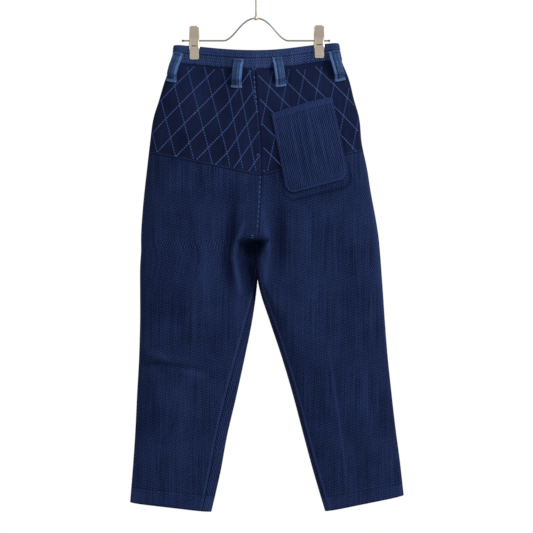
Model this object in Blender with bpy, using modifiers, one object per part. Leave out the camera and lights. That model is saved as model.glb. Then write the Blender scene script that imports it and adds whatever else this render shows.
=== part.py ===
"""Sashiko trousers hung by their waistband from a metal clip hanger.

The shown side is the trousers' back. It faces -Y, +X is to the viewer's right and +Z is up. The origin is
the point under the top of the hook where the hanger rests on a rail, and every height is written as a drop
below that point. Left and right are the viewer's, seen from behind the trousers.

The cloth is one surface, measured at named levels from the band's top to the hem. Each leg has a table of
its edges, and a table of fullness gives the depth of the cloth at the same levels. The yoke's and the
legs' panels, the waistband, the belt loops, the pocket and the fly are walls worked out on that surface.
"""

import math
from collections import namedtuple

import bmesh
import bpy
import numpy as np

MM = 0.001

# Cloth sizes, in millimetres
SEAM_GAP = 0.3
PANEL_WALL = 2.0
FORK_WALL = 1.3
FORK_GAP = 0.8
HEM_WALL = 3.6
HEM_TURN = 30.0
BAND_WALL = 4.0
BAND_PROUD = 1.5
PATCH_LIFT = 0.6
# The band's columns, as shares from the side fold to the centre, with one at each edge of a clip
BAND_TURNS = (0, 0.012, 0.03, 0.06, 0.11, 0.15, 0.20, 0.34, 0.42, 0.50, 0.58, 0.66, 0.74, 0.83, 0.92, 1.0)

# Levels by name, in the order of the tables below
BAND_TOP, WAIST_SEAM, ARCH, FORK, HEM = 0, 1, 9, 10, 18
# The levels where the yoke's seam meets the side fold and the centre seam, and how far off it slants rows
YOKE_SIDE, YOKE_CENTRE, YOKE_REACH = 5.34, 5.96, 1.2

# The edges of each leg: its side, and its inner edge, which is the centre seam down to the fork and the
# inside of the leg below it. inner_round is how far from the inner edge the back is at its full depth,
# inner_power the shape of that corner, and seam_shift how far the inside leg seam lies round to the back.
LegRow = namedtuple("LegRow", "side_x side_drop inner_x inner_drop inner_round inner_power seam_shift")
LEFT_LEG = [
    LegRow(-176.3, 159.1, 0.0, 171.8, 40, 2.0, 0),
    LegRow(-181.7, 197.8, -3.2, 211.8, 40, 2.0, 0),
    LegRow(-195.7, 233.3, -1.1, 250.5, 40, 2.0, 0),
    LegRow(-208.6, 276.3, 3.2, 293.5, 40, 2.0, 0),
    LegRow(-221.5, 319.3, 7.5, 336.5, 40, 2.0, 0),
    LegRow(-228.6, 373.0, 10.8, 388.1, 40, 2.0, 0),
    LegRow(-234.8, 426.8, 10.8, 444.0, 40, 2.0, 0),
    LegRow(-240.8, 480.5, 8.6, 497.7, 40, 1.6, 0),
    LegRow(-245.1, 530.0, 5.4, 545.0, 38, 1.2, 0),
    LegRow(-247.3, 568.7, 3.2, 573.0, 36, 1.0, 0),
    LegRow(-247.3, 601.0, 3.2, 584.8, 34, 1.0, 0),
    LegRow(-249.4, 637.5, 2.9, 620.3, 34, 1.1, 12),
    LegRow(-249.4, 689.0, 0.3, 680.5, 38, 1.4, 20),
    LegRow(-249.4, 753.6, -8.6, 753.6, 48, 1.8, 23),
    LegRow(-251.6, 831.0, -24.7, 833.1, 55, 2.0, 23),
    LegRow(-255.9, 910.5, -43.0, 917.0, 52, 2.0, 23),
    LegRow(-259.5, 985.8, -61.7, 996.5, 48, 2.0, 23),
    LegRow(-264.5, 1061.0, -76.3, 1076.0, 42, 2.0, 22),
    LegRow(-270.9, 1140.6, -95.7, 1161.0, 36, 2.0, 21),
]
RIGHT_LEG = [
    LegRow(177.4, 154.8, 0.0, 171.8, 40, 2.0, 0),
    LegRow(184.5, 191.4, -3.2, 211.8, 40, 2.0, 0),
    LegRow(200.0, 231.1, -1.1, 250.5, 40, 2.0, 0),
    LegRow(210.7, 274.1, 3.2, 293.5, 40, 2.0, 0),
    LegRow(222.5, 317.1, 7.5, 336.5, 40, 2.0, 0),
    LegRow(227.5, 368.7, 10.8, 388.1, 40, 2.0, 0),
    LegRow(238.7, 422.5, 10.8, 444.0, 40, 2.0, 0),
    LegRow(247.3, 476.2, 8.6, 497.7, 36, 1.6, 0),
    LegRow(256.9, 527.8, 5.4, 545.0, 28, 1.2, 0),
    LegRow(263.4, 568.7, 3.2, 573.0, 22, 1.0, 0),
    LegRow(266.6, 601.0, 3.2, 584.8, 20, 1.0, 0),
    LegRow(269.4, 637.5, 4.2, 620.3, 22, 1.1, 5),
    LegRow(273.1, 689.0, 8.6, 680.5, 30, 1.4, 8),
    LegRow(277.4, 753.6, 30.1, 753.6, 45, 1.8, 9),
    LegRow(283.2, 826.7, 55.9, 831.0, 55, 2.0, 9),
    LegRow(291.3, 904.0, 80.0, 912.7, 52, 2.0, 9),
    LegRow(299.9, 979.3, 101.5, 994.4, 48, 2.0, 9),
    LegRow(309.6, 1052.4, 123.6, 1076.0, 42, 2.0, 9),
    LegRow(317.8, 1125.5, 148.4, 1159.9, 36, 2.0, 9),
]

# The depth of the cloth at the same levels. side_round is how far from the side fold the cloth is at its
# full depth, clip_hold how much the clips shape it, and front_lower how far the front's centre dips below
# the back's. The closings carry the centre seams under the fork, from 0, upright, to 1, at the fork.
Fullness = namedtuple(
    "Fullness", "back front fork_y side_round clip_hold back_closing front_closing front_lower"
)
FULLNESS = [
    Fullness(22, 18, 0, 10, 1.0, 0, 0, 10),
    Fullness(26, 21, 0, 11, 1.0, 0, 0, 10),
    Fullness(31, 25, 0, 50, 0.70, 0, 0, 9),
    Fullness(36, 28, 0, 75, 0.40, 0, 0, 8),
    Fullness(41, 31, 0, 90, 0.18, 0, 0, 6),
    Fullness(45, 33, 0, 100, 0.05, 0, 0, 4),
    Fullness(47, 34, 0, 105, 0.0, 0, 0, 1),
    Fullness(48, 34, 0, 105, 0.0, 0, 0.03, -3),
    Fullness(48, 34, 2, 100, 0.0, 0, 0.14, -6),
    Fullness(46, 34, 6, 95, 0.0, 0.08, 0.42, -5),
    Fullness(45, 34, 10, 90, 0.0, 1, 1, 0),
    Fullness(43, 34, 11, 85, 0.0, 1, 1, 0),
    Fullness(41, 33, 8, 80, 0.0, 1, 1, 0),
    Fullness(38, 32, 4, 75, 0.0, 1, 1, 0),
    Fullness(35, 30, 0, 70, 0.0, 1, 1, 0),
    Fullness(31, 27, 0, 62, 0.0, 1, 1, 0),
    Fullness(27, 24, 0, 55, 0.0, 1, 1, 0),
    Fullness(22, 20, 0, 48, 0.0, 1, 1, 0),
    Fullness(17, 16, 0, 40, 0.0, 1, 1, 0),
]

# The largest folds of the shown side: a trough from one point to another, with its half width and depth
Fold = namedtuple("Fold", "x0 drop0 x1 drop1 half_width depth")
BACK_FOLDS = [
    Fold(-50, 440, -58, 690, 13, 5.0),
    Fold(44, 410, 54, 660, 13, 4.5),
    Fold(-252, 828, -185, 846, 10, 3.0),
]

# The hanger, in millimetres: the arms' wire and the hook's, the eye they meet in, and the hump of the arms
ARM_WIRE = 3.2
HOOK_WIRE = 3.0
ARM_DROP = 148.5
HUMP_TOP_DROP = 100.0
HUMP_HALF_WIDTH = 70.0
ARM_END_X = 159.0
EYE_RADIUS = 5.0
EYE_HEIGHT = 8.0
HOOK_INNER_RADIUS = 19.0
HOOK_TIP_ANGLE = math.radians(205)

# Each clip: where it grips, and the drops of its jaws' ends
Clip = namedtuple("Clip", "name x top_drop foot_drop")
CLIPS = [Clip("left", -132.4, 118.3, 189.6), Clip("right", 136.1, 116.7, 186.4)]
GRIP_HALF_GAP = 3.15
JAW_SHEET = 1.2
JAW_TOP_SPREAD = 12.0
HUB_RADIUS = 4.4
HUB_BORE_RADIUS = 2.0
HUB_WIDTH = 15.0
CLIP_FLAT = 12.5
SIDE_LOOP_RISE = 5.5

# Each belt loop: the side of the cloth it is on, and its centre line's top and foot
Loop = namedtuple("Loop", "name face x0 drop0 x1 drop1")
LOOPS = [
    Loop("belt_loop_back_1", "back", -168.0, 174.0, -180.5, 236.0),
    Loop("belt_loop_back_2", "back", -35.5, 189.5, -40.5, 250.0),
    Loop("belt_loop_back_3", "back", 45.0, 185.0, 53.0, 247.5),
    Loop("belt_loop_back_4", "back", 167.5, 170.5, 180.0, 234.5),
    Loop("belt_loop_front_1", "front", -62.0, 188.5, -65.0, 249.5),
    Loop("belt_loop_front_2", "front", 62.0, 187.0, 65.0, 248.0),
]
LOOP_WIDTH = 20.0
LOOP_WALL = 3.2
LOOP_GAP = 9.5
LOOP_SEWN = 7.0

# The patch pocket's corners on the right back panel, its round lower corners and how far it stands off
POCKET_TOP_LEFT = (33.1, 308.3)
POCKET_TOP_RIGHT = (166.4, 270.5)
POCKET_FOOT_LEFT = (68.8, 478.0)
POCKET_FOOT_RIGHT = (198.5, 443.0)
POCKET_CORNER = 0.13
POCKET_WALL = 2.2
POCKET_PUFF = 10.5

# The fly's placket and the waist button, on the hidden front
FLY_WIDTH = 38.0
FLY_LENGTH = 168.0
FLY_WALL = 1.8
BAND_END_X = 22.0
BAND_UNDER_X = -16.0
BAND_UNDER_RUN = 30.0
BUTTON_X = 4.0
BUTTON_RADIUS = 9.0
BUTTON_THICKNESS = 3.5

INDIGO_TWILL = (0.020, 0.050, 0.150)
INDIGO_BAND = (0.022, 0.055, 0.160)
INDIGO_LOOP = (0.035, 0.085, 0.220)
NICKEL = (0.62, 0.55, 0.47)
HORN = (0.03, 0.03, 0.05)


def column(rows, field, level):
    """One column of a table, smoothly joined between its rows. Level counts rows from 0."""
    values = np.array([getattr(row, field) for row in rows], float)
    last = len(values) - 1
    padded = np.concatenate([[2 * values[0] - values[1]], values, [2 * values[-1] - values[-2]]])
    level = np.clip(np.asarray(level, float), 0, last)
    row = np.minimum(level.astype(int), last - 1)
    f = level - row
    before, start, end, after = (padded[row + k] for k in range(4))
    bend = 2 * before - 5 * start + 4 * end - after
    twist = 3 * (start - end) + after - before
    return start + 0.5 * f * (end - before + f * (bend + f * twist))


def round_rise(share, power):
    """From 0 at an edge to 1 at the full depth: a quarter circle at power 2, a straight slope at 1."""
    share = np.clip(share, 0, 1)
    return np.clip(1 - (1 - share) ** power, 0, 1) ** (1 / power)


def clip_shape(leg_rows, level, x, depth):
    """The half depth of the band: pinched flat at the clip, and bowed out between the clips."""
    side = column(leg_rows, "side_x", level)
    clip_x = abs(CLIPS[0].x) if leg_rows is LEFT_LEG else abs(CLIPS[1].x)
    inside = clip_x - CLIP_FLAT
    bow = np.cos(np.clip(np.abs(x) / inside, 0, 1) * math.pi / 2) ** 2
    outside = np.clip((np.abs(x) - clip_x - CLIP_FLAT) / (np.abs(side) - clip_x - CLIP_FLAT), 0, 1)
    side_loop = SIDE_LOOP_RISE * np.sin(np.clip(outside * 1.4, 0, 1) * math.pi / 2) ** 2
    fold = round_rise((np.abs(side) - np.abs(x)) / column(FULLNESS, "side_round", level), 2.0)
    return (GRIP_HALF_GAP + (depth - GRIP_HALF_GAP) * bow + side_loop) * fold


def fold_depth(x, drop):
    """How far the troughs of the shown side sink the cloth at a point."""
    total = np.zeros(np.broadcast(x, drop).shape)
    for fold in BACK_FOLDS:
        run = np.array([fold.x1 - fold.x0, fold.drop1 - fold.drop0])
        length = np.hypot(*run)
        along = ((x - fold.x0) * run[0] + (drop - fold.drop0) * run[1]) / length
        across = ((x - fold.x0) * run[1] - (drop - fold.drop0) * run[0]) / length
        ends = np.sin(np.clip(along / length, 0, 1) * math.pi) ** 0.7
        total = total + fold.depth * ends * np.exp(-((across / fold.half_width) ** 2))
    return total


def cloth(leg_rows, level, turn):
    """Points of the outer surface, in millimetres. Turn runs from the side fold at 0 to the inner edge at
    1 over the back, and to -1 over the front."""
    level, turn = np.broadcast_arrays(np.asarray(level, float), np.asarray(turn, float))
    back = turn >= 0
    t = np.abs(turn)
    side_x = column(leg_rows, "side_x", level)
    inner_x = column(leg_rows, "inner_x", level)
    width = np.abs(inner_x - side_x)
    x = side_x + (inner_x - side_x) * t

    lower = np.where(back, 0, column(FULLNESS, "front_lower", level))
    inner_drop = column(leg_rows, "inner_drop", level) + lower
    hold = np.clip(column(FULLNESS, "clip_hold", level), 0, 1)
    sag = hold * (1 - np.cos(math.pi * t)) / 2 + (1 - hold) * t
    side_drop = column(leg_rows, "side_drop", level)
    drop = side_drop + (inner_drop - side_drop) * sag

    depth = np.where(back, column(FULLNESS, "back", level), column(FULLNESS, "front", level))
    back_closing = column(FULLNESS, "back_closing", level)
    front_closing = column(FULLNESS, "front_closing", level)
    closing = np.clip(np.where(back, back_closing, front_closing), 0, 1)
    inner_round = column(leg_rows, "inner_round", level)
    power = column(leg_rows, "inner_power", level)
    side_rise = round_rise(t * width / column(FULLNESS, "side_round", level), 2.0)
    inner_rise = 1 - closing * (1 - round_rise((1 - t) * width / inner_round, power))
    half = depth * side_rise * inner_rise
    half = half * (1 - hold) + clip_shape(leg_rows, level, x, depth) * hold
    y = column(FULLNESS, "fork_y", level) * t**2 + np.where(back, -half, half)
    y = y + np.where(back, fold_depth(x, drop) * inner_rise, 0)
    return np.stack([x, y, -drop], axis=-1)


def cloth_at(x, drop, face):
    """The point of the outer surface seen at x and drop from the back or the front, and its normal."""
    x, drop = np.broadcast_arrays(np.asarray(x, float), np.asarray(drop, float))
    sign = 1 if face == "back" else -1

    def point(x, drop):
        found = np.zeros(x.shape + (3,))
        middle_x = [(a.inner_x + b.inner_x) / 2 for a, b in zip(LEFT_LEG, RIGHT_LEG)]
        on_left = x < np.interp(drop, [row.inner_drop for row in LEFT_LEG], middle_x)
        for leg_rows, chosen in ((LEFT_LEG, on_left), (RIGHT_LEG, ~on_left)):
            low, high = np.zeros(x.shape), np.full(x.shape, float(HEM))
            for _ in range(40):
                middle = (low + high) / 2
                side = column(leg_rows, "side_x", middle)
                t = np.clip((x - side) / (column(leg_rows, "inner_x", middle) - side), 1e-4, 1)
                here = cloth(leg_rows, middle, sign * t)
                above = -here[..., 2] < drop
                low, high = np.where(above, middle, low), np.where(above, high, middle)
            found[chosen] = here[chosen]
        return found

    step = 1.5
    across = point(x + step, drop) - point(x - step, drop)
    down = point(x, drop + step) - point(x, drop - step)
    normal = np.cross(across, down) * -sign
    normal /= np.linalg.norm(normal, axis=-1, keepdims=True)
    flip = np.sign(normal[..., 1:2]) * -sign
    return point(x, drop), normal * np.where(flip == 0, 1, flip)


def vertex_normals(grids):
    """Outward normals of grids that meet at seams, averaged over all the faces at each place."""
    points = np.concatenate([grid.reshape(-1, 3) for grid in grids])
    places, index = np.unique(np.round(points, 4), axis=0, return_inverse=True)
    index = index.reshape(-1)
    total = np.zeros((len(places), 3))
    start = 0
    for grid in grids:
        rows, cols = grid.shape[:2]
        ids = index[start : start + rows * cols].reshape(rows, cols)
        start += rows * cols
        face = np.cross(grid[1:, 1:] - grid[:-1, :-1], grid[1:, :-1] - grid[:-1, 1:])
        for corner in (ids[:-1, :-1], ids[1:, :-1], ids[:-1, 1:], ids[1:, 1:]):
            np.add.at(total, corner.reshape(-1), face.reshape(-1, 3))
    total /= np.maximum(np.linalg.norm(total, axis=1, keepdims=True), 1e-9)
    normals, start = [], 0
    for grid in grids:
        count = grid.shape[0] * grid.shape[1]
        normals.append(total[index[start : start + count]].reshape(grid.shape))
        start += count
    return normals


def draw_in(grid, amount):
    """Moves the border of a grid inwards, to leave the gap at a seam. Amount is one length for each row."""
    grid = grid.copy()
    rows = np.asarray(amount)[:, None]
    borders = [
        (np.s_[:, 0], np.s_[:, 1], rows),
        (np.s_[:, -1], np.s_[:, -2], rows),
        (np.s_[0], np.s_[1], rows[0]),
        (np.s_[-1], np.s_[-2], rows[-1]),
    ]
    for edge, inner, length in borders:
        step = grid[inner] - grid[edge]
        grid[edge] += step / np.maximum(np.linalg.norm(step, axis=-1, keepdims=True), 1e-9) * length
    return grid


def material(name, colour, roughness, metallic=0.0):
    """A Principled material, made once."""
    made = bpy.data.materials.get(name) or bpy.data.materials.new(name)
    made.use_nodes = True
    made.diffuse_color = (*colour, 1)
    shader = made.node_tree.nodes["Principled BSDF"]
    shader.inputs["Base Color"].default_value = (*colour, 1)
    shader.inputs["Roughness"].default_value = roughness
    shader.inputs["Metallic"].default_value = metallic
    return made


def place(obj, finish):
    """Puts an object in the trousers' collection with its material."""
    collection = bpy.data.collections["sashiko_trousers"]
    for other in obj.users_collection:
        other.objects.unlink(obj)
    collection.objects.link(obj)
    obj.data.materials.clear()
    obj.data.materials.append(finish)
    return obj


def wall_object(name, outer, inner, finish):
    """A closed wall between two grids of the same size, lofted along their rows."""
    rows, cols = outer.shape[:2]
    ids = np.arange(rows * cols).reshape(rows, cols)
    far = ids + rows * cols
    quads = [
        (ids[:-1, :-1], ids[:-1, 1:], ids[1:, 1:], ids[1:, :-1]),
        (far[:-1, :-1], far[1:, :-1], far[1:, 1:], far[:-1, 1:]),
    ]
    rims = [
        (ids[0], far[0]),
        (ids[-1][::-1], far[-1][::-1]),
        (ids[::-1, 0], far[::-1, 0]),
        (ids[:, -1], far[:, -1]),
    ]
    for a, b in rims:
        quads.append((a[1:], a[:-1], b[:-1], b[1:]))
    faces = np.concatenate([np.stack([c.reshape(-1) for c in quad], axis=1) for quad in quads])
    points = np.concatenate([outer.reshape(-1, 3), inner.reshape(-1, 3)]) * MM
    mesh = bpy.data.meshes.new(name)
    mesh.from_pydata(points.tolist(), [], faces.tolist())
    shaped = bmesh.new()
    shaped.from_mesh(mesh)
    bmesh.ops.recalc_face_normals(shaped, faces=shaped.faces)
    shaped.to_mesh(mesh)
    shaped.free()
    mesh.shade_smooth()
    mesh.set_sharp_from_angle(angle=math.radians(40))
    return place(bpy.data.objects.new(name, mesh), finish)


def panel_levels():
    """The levels of the panels' rows: closer round the arch and the hem's turn, wider down the legs."""
    levels = [float(WAIST_SEAM), float(HEM)]
    for row in range(WAIST_SEAM, HEM):
        parts = 4 if row in (ARCH, FORK) else 1 if row in (3, 4, 5, 13, 15, 16) else 2
        levels += [row + k / parts for k in range(1, parts + 1) if row + k / parts not in levels]
    turn = HEM - HEM_TURN / (RIGHT_LEG[HEM].side_drop - RIGHT_LEG[HEM - 1].side_drop)
    levels.remove(HEM - 0.5)
    return np.array(sorted([*levels, (YOKE_SIDE + YOKE_CENTRE) / 2, turn - 0.03, turn + 0.03]))


def slanted_levels(levels, turns):
    """The level of each point of a panel's grid. The row at the yoke's seam slants from the side fold to
    the centre seam, and the rows near it slant less the further they are."""
    slant = np.clip(1 - np.abs(levels[:, None] - (YOKE_SIDE + YOKE_CENTRE) / 2) / YOKE_REACH, 0, 1)
    return levels[:, None] + slant * (YOKE_CENTRE - YOKE_SIDE) * (np.abs(turns) - 0.5)


def panel_turns(leg_rows, levels, columns, face):
    """The turn of each column at each level, evenly spaced along the cloth and a little closer at its
    seams. The inside leg seam lies on the back, so the front panel runs round the inner edge to it."""
    shift = column(leg_rows, "seam_shift", levels)
    width = np.abs(column(leg_rows, "inner_x", levels) - column(leg_rows, "side_x", levels))
    seam = 1 - np.clip(shift / width, 0, 1)
    share = np.linspace(0, 1, columns)
    share = 0.6 * share + 0.4 * (1 - np.cos(share * math.pi)) / 2
    turns = []
    for level, end in zip(levels, seam):
        fine = (1 - np.cos(np.linspace(0, math.pi, 601))) / 2
        if face == "back":
            fine = fine * end
        else:
            fine = np.concatenate([-fine, np.linspace(1, end, 61)[1:]]) if end < 1 else -fine
        path = cloth(leg_rows, level, fine)
        run = np.concatenate([[0], np.cumsum(np.linalg.norm(np.diff(path, axis=0), axis=1))])
        walked = np.interp(share * run[-1], run, np.arange(len(fine)))
        step = np.minimum(walked.astype(int), len(fine) - 2)
        far = fine[step + 1] * np.where(fine[step] * fine[step + 1] < 0, -1, 1)
        turns.append(fine[step] + (far - fine[step]) * (walked - step))
        turns[-1][0], turns[-1][-1] = fine[0], fine[-1]
    return np.array(turns)


def make_panels():
    """The panels of both legs, back and front, each a wall from the side seam to the centre and inside leg
    seams. The yoke's seam divides each into a yoke and a leg panel."""
    levels = panel_levels()
    names, grids = [], []
    for leg_name, leg_rows in (("left", LEFT_LEG), ("right", RIGHT_LEG)):
        for face in ("back", "front"):
            turns = panel_turns(leg_rows, levels, 14, face)
            grid = cloth(leg_rows, slanted_levels(levels, turns), turns)
            # Columns run so that rows times columns give a normal that points out
            if (leg_name == "left") == (face == "back"):
                grid = grid[:, ::-1]
            names.append((face, leg_name))
            grids.append(grid)
    normals = vertex_normals(grids)
    thickness = np.where(levels > levels[-3], HEM_WALL, PANEL_WALL)
    seam = int(np.searchsorted(levels, (YOKE_SIDE + YOKE_CENTRE) / 2))
    finish = material("indigo_twill", INDIGO_TWILL, 0.9)
    for (face, leg_name), grid, normal in zip(names, grids, normals):
        # Both legs' faces meet at the fork's point, where the wall goes straight up
        at_fork = (levels[:, None] == FORK) & (np.abs(grid[..., 0] - LEFT_LEG[FORK].inner_x) < 0.01)
        normal[at_fork] = (0, 0, -1)
        from_fork = (grid[..., 0] - LEFT_LEG[FORK].inner_x) / 12
        thin = np.exp(-(((levels[:, None] - FORK) / 0.7) ** 2) - from_fork**2)
        inner = grid - normal * (thickness[:, None] - (PANEL_WALL - FORK_WALL) * thin)[..., None]
        gap = SEAM_GAP / 2 + (FORK_GAP - SEAM_GAP) / 2 * np.exp(-(((levels - FORK) / 0.5) ** 2))
        for piece, rows in (("yoke", slice(None, seam + 1)), ("panel", slice(seam, None))):
            outside, inside = draw_in(grid[rows], gap[rows]), draw_in(inner[rows], gap[rows])
            wall_object(f"{face}_{piece}_{leg_name}", outside, inside, finish)


def make_waistband():
    """One strip round the waist. Its ends lap at the centre front, the right one under the left."""
    finish = material("indigo_band", INDIGO_BAND, 0.9)
    levels = np.linspace(BAND_TOP, WAIST_SEAM, 4)
    even = np.array(BAND_TURNS)

    def turn_at(leg_rows, x):
        side = column(leg_rows, "side_x", WAIST_SEAM)
        return abs((x - side) / (column(leg_rows, "inner_x", WAIST_SEAM) - side))

    under = turn_at(RIGHT_LEG, BAND_END_X + BAND_UNDER_RUN)
    parts = [
        (RIGHT_LEG, -even[even < under][::-1][:-1]),
        (RIGHT_LEG, even[:-1]),
        (LEFT_LEG, even[:0:-1]),
        (LEFT_LEG, -even),
    ]
    rings = [cloth(rows, levels[:, None], turns[None, :]) for rows, turns in parts]
    top_end = cloth(RIGHT_LEG, levels[:, None], -np.linspace(1, turn_at(RIGHT_LEG, BAND_END_X), 4)[None, 1:])
    lapped = cloth(RIGHT_LEG, levels[:, None], -np.linspace(1, under, 6)[None, :-1])
    beyond = cloth(LEFT_LEG, levels[:, None], -np.array([turn_at(LEFT_LEG, BAND_UNDER_X)])[None, :])
    grid = np.concatenate([beyond, lapped, *rings, top_end], axis=1)
    normal = vertex_normals([grid])[0]
    sink = np.zeros(grid.shape[1])
    run = beyond.shape[1] + lapped.shape[1]
    sink[:run] = BAND_WALL + SEAM_GAP
    reach = np.clip((grid[0, : run + 1, 0] - BAND_END_X - 4) / (BAND_UNDER_RUN - 4), 0, 1)
    sink[: run + 1] = (BAND_WALL + SEAM_GAP) * (1 - reach * reach * (3 - 2 * reach))
    outer = grid + normal * (BAND_PROUD - sink)[None, :, None]
    inner = outer - normal * BAND_WALL
    gap = np.array([0, 0, SEAM_GAP])
    outer[-1] += gap
    inner[-1] += gap
    wall_object("waistband", outer, inner, finish)


def make_belt_loop(loop):
    """A strip that stands off the band between two sewn ends."""
    rows, cols = 11, 4
    s = np.linspace(0, 1, rows)
    x = loop.x0 + (loop.x1 - loop.x0) * s
    drop = loop.drop0 + (loop.drop1 - loop.drop0) * s
    length = math.hypot(loop.x1 - loop.x0, loop.drop1 - loop.drop0)
    base, normal = cloth_at(x, drop, loop.face)
    normal[1:-1] = (normal[:-2] + normal[1:-1] + normal[2:]) / 3
    normal = (normal / np.linalg.norm(normal, axis=1, keepdims=True))[:, None, :]
    middle = np.clip((np.minimum(s, 1 - s) * length - LOOP_SEWN) / 9.0, 0, 1)
    arch = middle * middle * (3 - 2 * middle)
    band_lift = np.interp(s * length, [0, 18, 26], [BAND_PROUD + 0.2, BAND_PROUD + 0.2, 0])
    lift = 0.6 + band_lift + LOOP_GAP * arch
    side = np.cross(np.gradient(base, axis=0)[:, None, :], normal)
    side /= np.linalg.norm(side, axis=2, keepdims=True)
    share = np.linspace(-0.5, 0.5, cols)[None, :, None]
    inner = base[:, None, :] + share * LOOP_WIDTH * side + lift[:, None, None] * normal
    outer = inner + (LOOP_WALL + (0.25 - share**2) * 2.4) * normal
    wall_object(loop.name, outer, inner, material("indigo_loop", INDIGO_LOOP, 0.85))


def pocket_places(across, down):
    """The x and drop of the pocket at shares across and down it, with its lower corners rounded."""
    near_foot = np.clip((down - 1 + POCKET_CORNER) / POCKET_CORNER, 0, 1)
    narrow = POCKET_CORNER * 1.25 * (1 - np.sqrt(1 - 0.96 * near_foot**2))
    across = narrow + across * (1 - 2 * narrow)
    top = [a + (b - a) * across for a, b in zip(POCKET_TOP_LEFT, POCKET_TOP_RIGHT)]
    foot = [a + (b - a) * across for a, b in zip(POCKET_FOOT_LEFT, POCKET_FOOT_RIGHT)]
    return [a + (b - a) * down for a, b in zip(top, foot)]


def make_pocket():
    """The patch pocket, sewn at its sides and foot and standing off the panel at its mouth."""
    across = (1 - np.cos(np.linspace(0, math.pi, 13))) / 2
    down = np.concatenate([np.linspace(0, 0.84, 9), [0.90, 0.94, 0.97, 0.99, 1.0]])
    x, drop = pocket_places(across[None, :], down[:, None])
    base, normal = cloth_at(x, drop, "back")
    puff = POCKET_PUFF * np.sqrt(np.sin(across * math.pi).clip(0))[None, :] * (1 - down[:, None] ** 3)
    inner = base + normal * (PATCH_LIFT + puff)[..., None]
    outer = inner + normal * POCKET_WALL
    wall_object("back_pocket", outer, inner, material("indigo_twill", INDIGO_TWILL, 0.9))


def make_fly():
    """The fly's placket, a strip over the centre front seam with a rounded foot."""
    down = np.concatenate([np.linspace(0, 0.8, 9), [0.88, 0.94, 0.98, 1.0]])
    across = np.linspace(0, 1, 5)
    drop0 = LEFT_LEG[WAIST_SEAM].inner_drop + FULLNESS[WAIST_SEAM].front_lower + 1.2
    drop = drop0 + FLY_LENGTH * down[:, None] + 0 * across[None, :]
    near_foot = np.clip((down - 0.8) / 0.2, 0, 1)
    rounding = FLY_WIDTH * 0.8 * (1 - np.sqrt(1 - (near_foot * 0.98) ** 2))[:, None]
    upper = LEFT_LEG[:ARCH]
    centre = np.interp(drop[:, 0], [row.inner_drop for row in upper], [row.inner_x for row in upper])
    x = centre[:, None] + 5.0 - (FLY_WIDTH - rounding) * across[None, :]
    base, normal = cloth_at(x, drop, "front")
    inner = base + normal * PATCH_LIFT
    wall_object("fly_placket", inner + normal * FLY_WALL, inner, material("indigo_twill", INDIGO_TWILL, 0.9))


def make_button():
    """The waist button, a turned disc with a raised rim, on the band's outer end."""
    middle = (LEFT_LEG[BAND_TOP].inner_drop + LEFT_LEG[WAIST_SEAM].inner_drop) / 2
    drop = middle + FULLNESS[BAND_TOP].front_lower
    base, normal = cloth_at(np.array(BUTTON_X), np.array(drop), "front")
    r, h = BUTTON_RADIUS, BUTTON_THICKNESS
    profile = [
        (0, h * 0.7),
        (r * 0.65, h * 0.7),
        (r * 0.78, h),
        (r * 0.93, h),
        (r, h * 0.7),
        (r, h * 0.2),
        (r * 0.9, 0),
        (0, 0),
    ]
    mesh = bpy.data.meshes.new("waist_button")
    edges = [(k, k + 1) for k in range(len(profile) - 1)]
    mesh.from_pydata([(a * MM, 0, b * MM) for a, b in profile], edges, [])
    obj = bpy.data.objects.new("waist_button", mesh)
    turned = obj.modifiers.new("turned", "SCREW")
    turned.steps = turned.render_steps = 24
    turned.use_merge_vertices = True
    turned.merge_threshold = 0.00001
    foot = (base + normal * (BAND_PROUD + 0.5)) * MM
    obj.location = foot
    obj.rotation_euler = (math.atan2(-normal[1], normal[2]), 0, 0)
    return place(obj, material("horn", HORN, 0.4))


def wire_object(name, points, diameter, finish, sides=2):
    """A round wire through points, with closed ends."""
    curve = bpy.data.curves.new(name, "CURVE")
    curve.dimensions = "3D"
    curve.bevel_depth = diameter / 2 * MM
    curve.bevel_resolution = sides
    curve.use_fill_caps = True
    spline = curve.splines.new("POLY")
    spline.points.add(len(points) - 1)
    for point, place_mm in zip(spline.points, points):
        point.co = (*(np.array(place_mm) * MM), 1)
    return place(bpy.data.objects.new(name, curve), finish)


def hump(x):
    """The drop of the arms' wire at x: level at the sides, and raised to the eye in the middle."""
    wave = 0.5 + 0.5 * math.cos(math.pi * min(abs(x) / HUMP_HALF_WIDTH, 1))
    return ARM_DROP - (ARM_DROP - HUMP_TOP_DROP) * wave ** (0.9 - 0.3 * wave)


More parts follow.
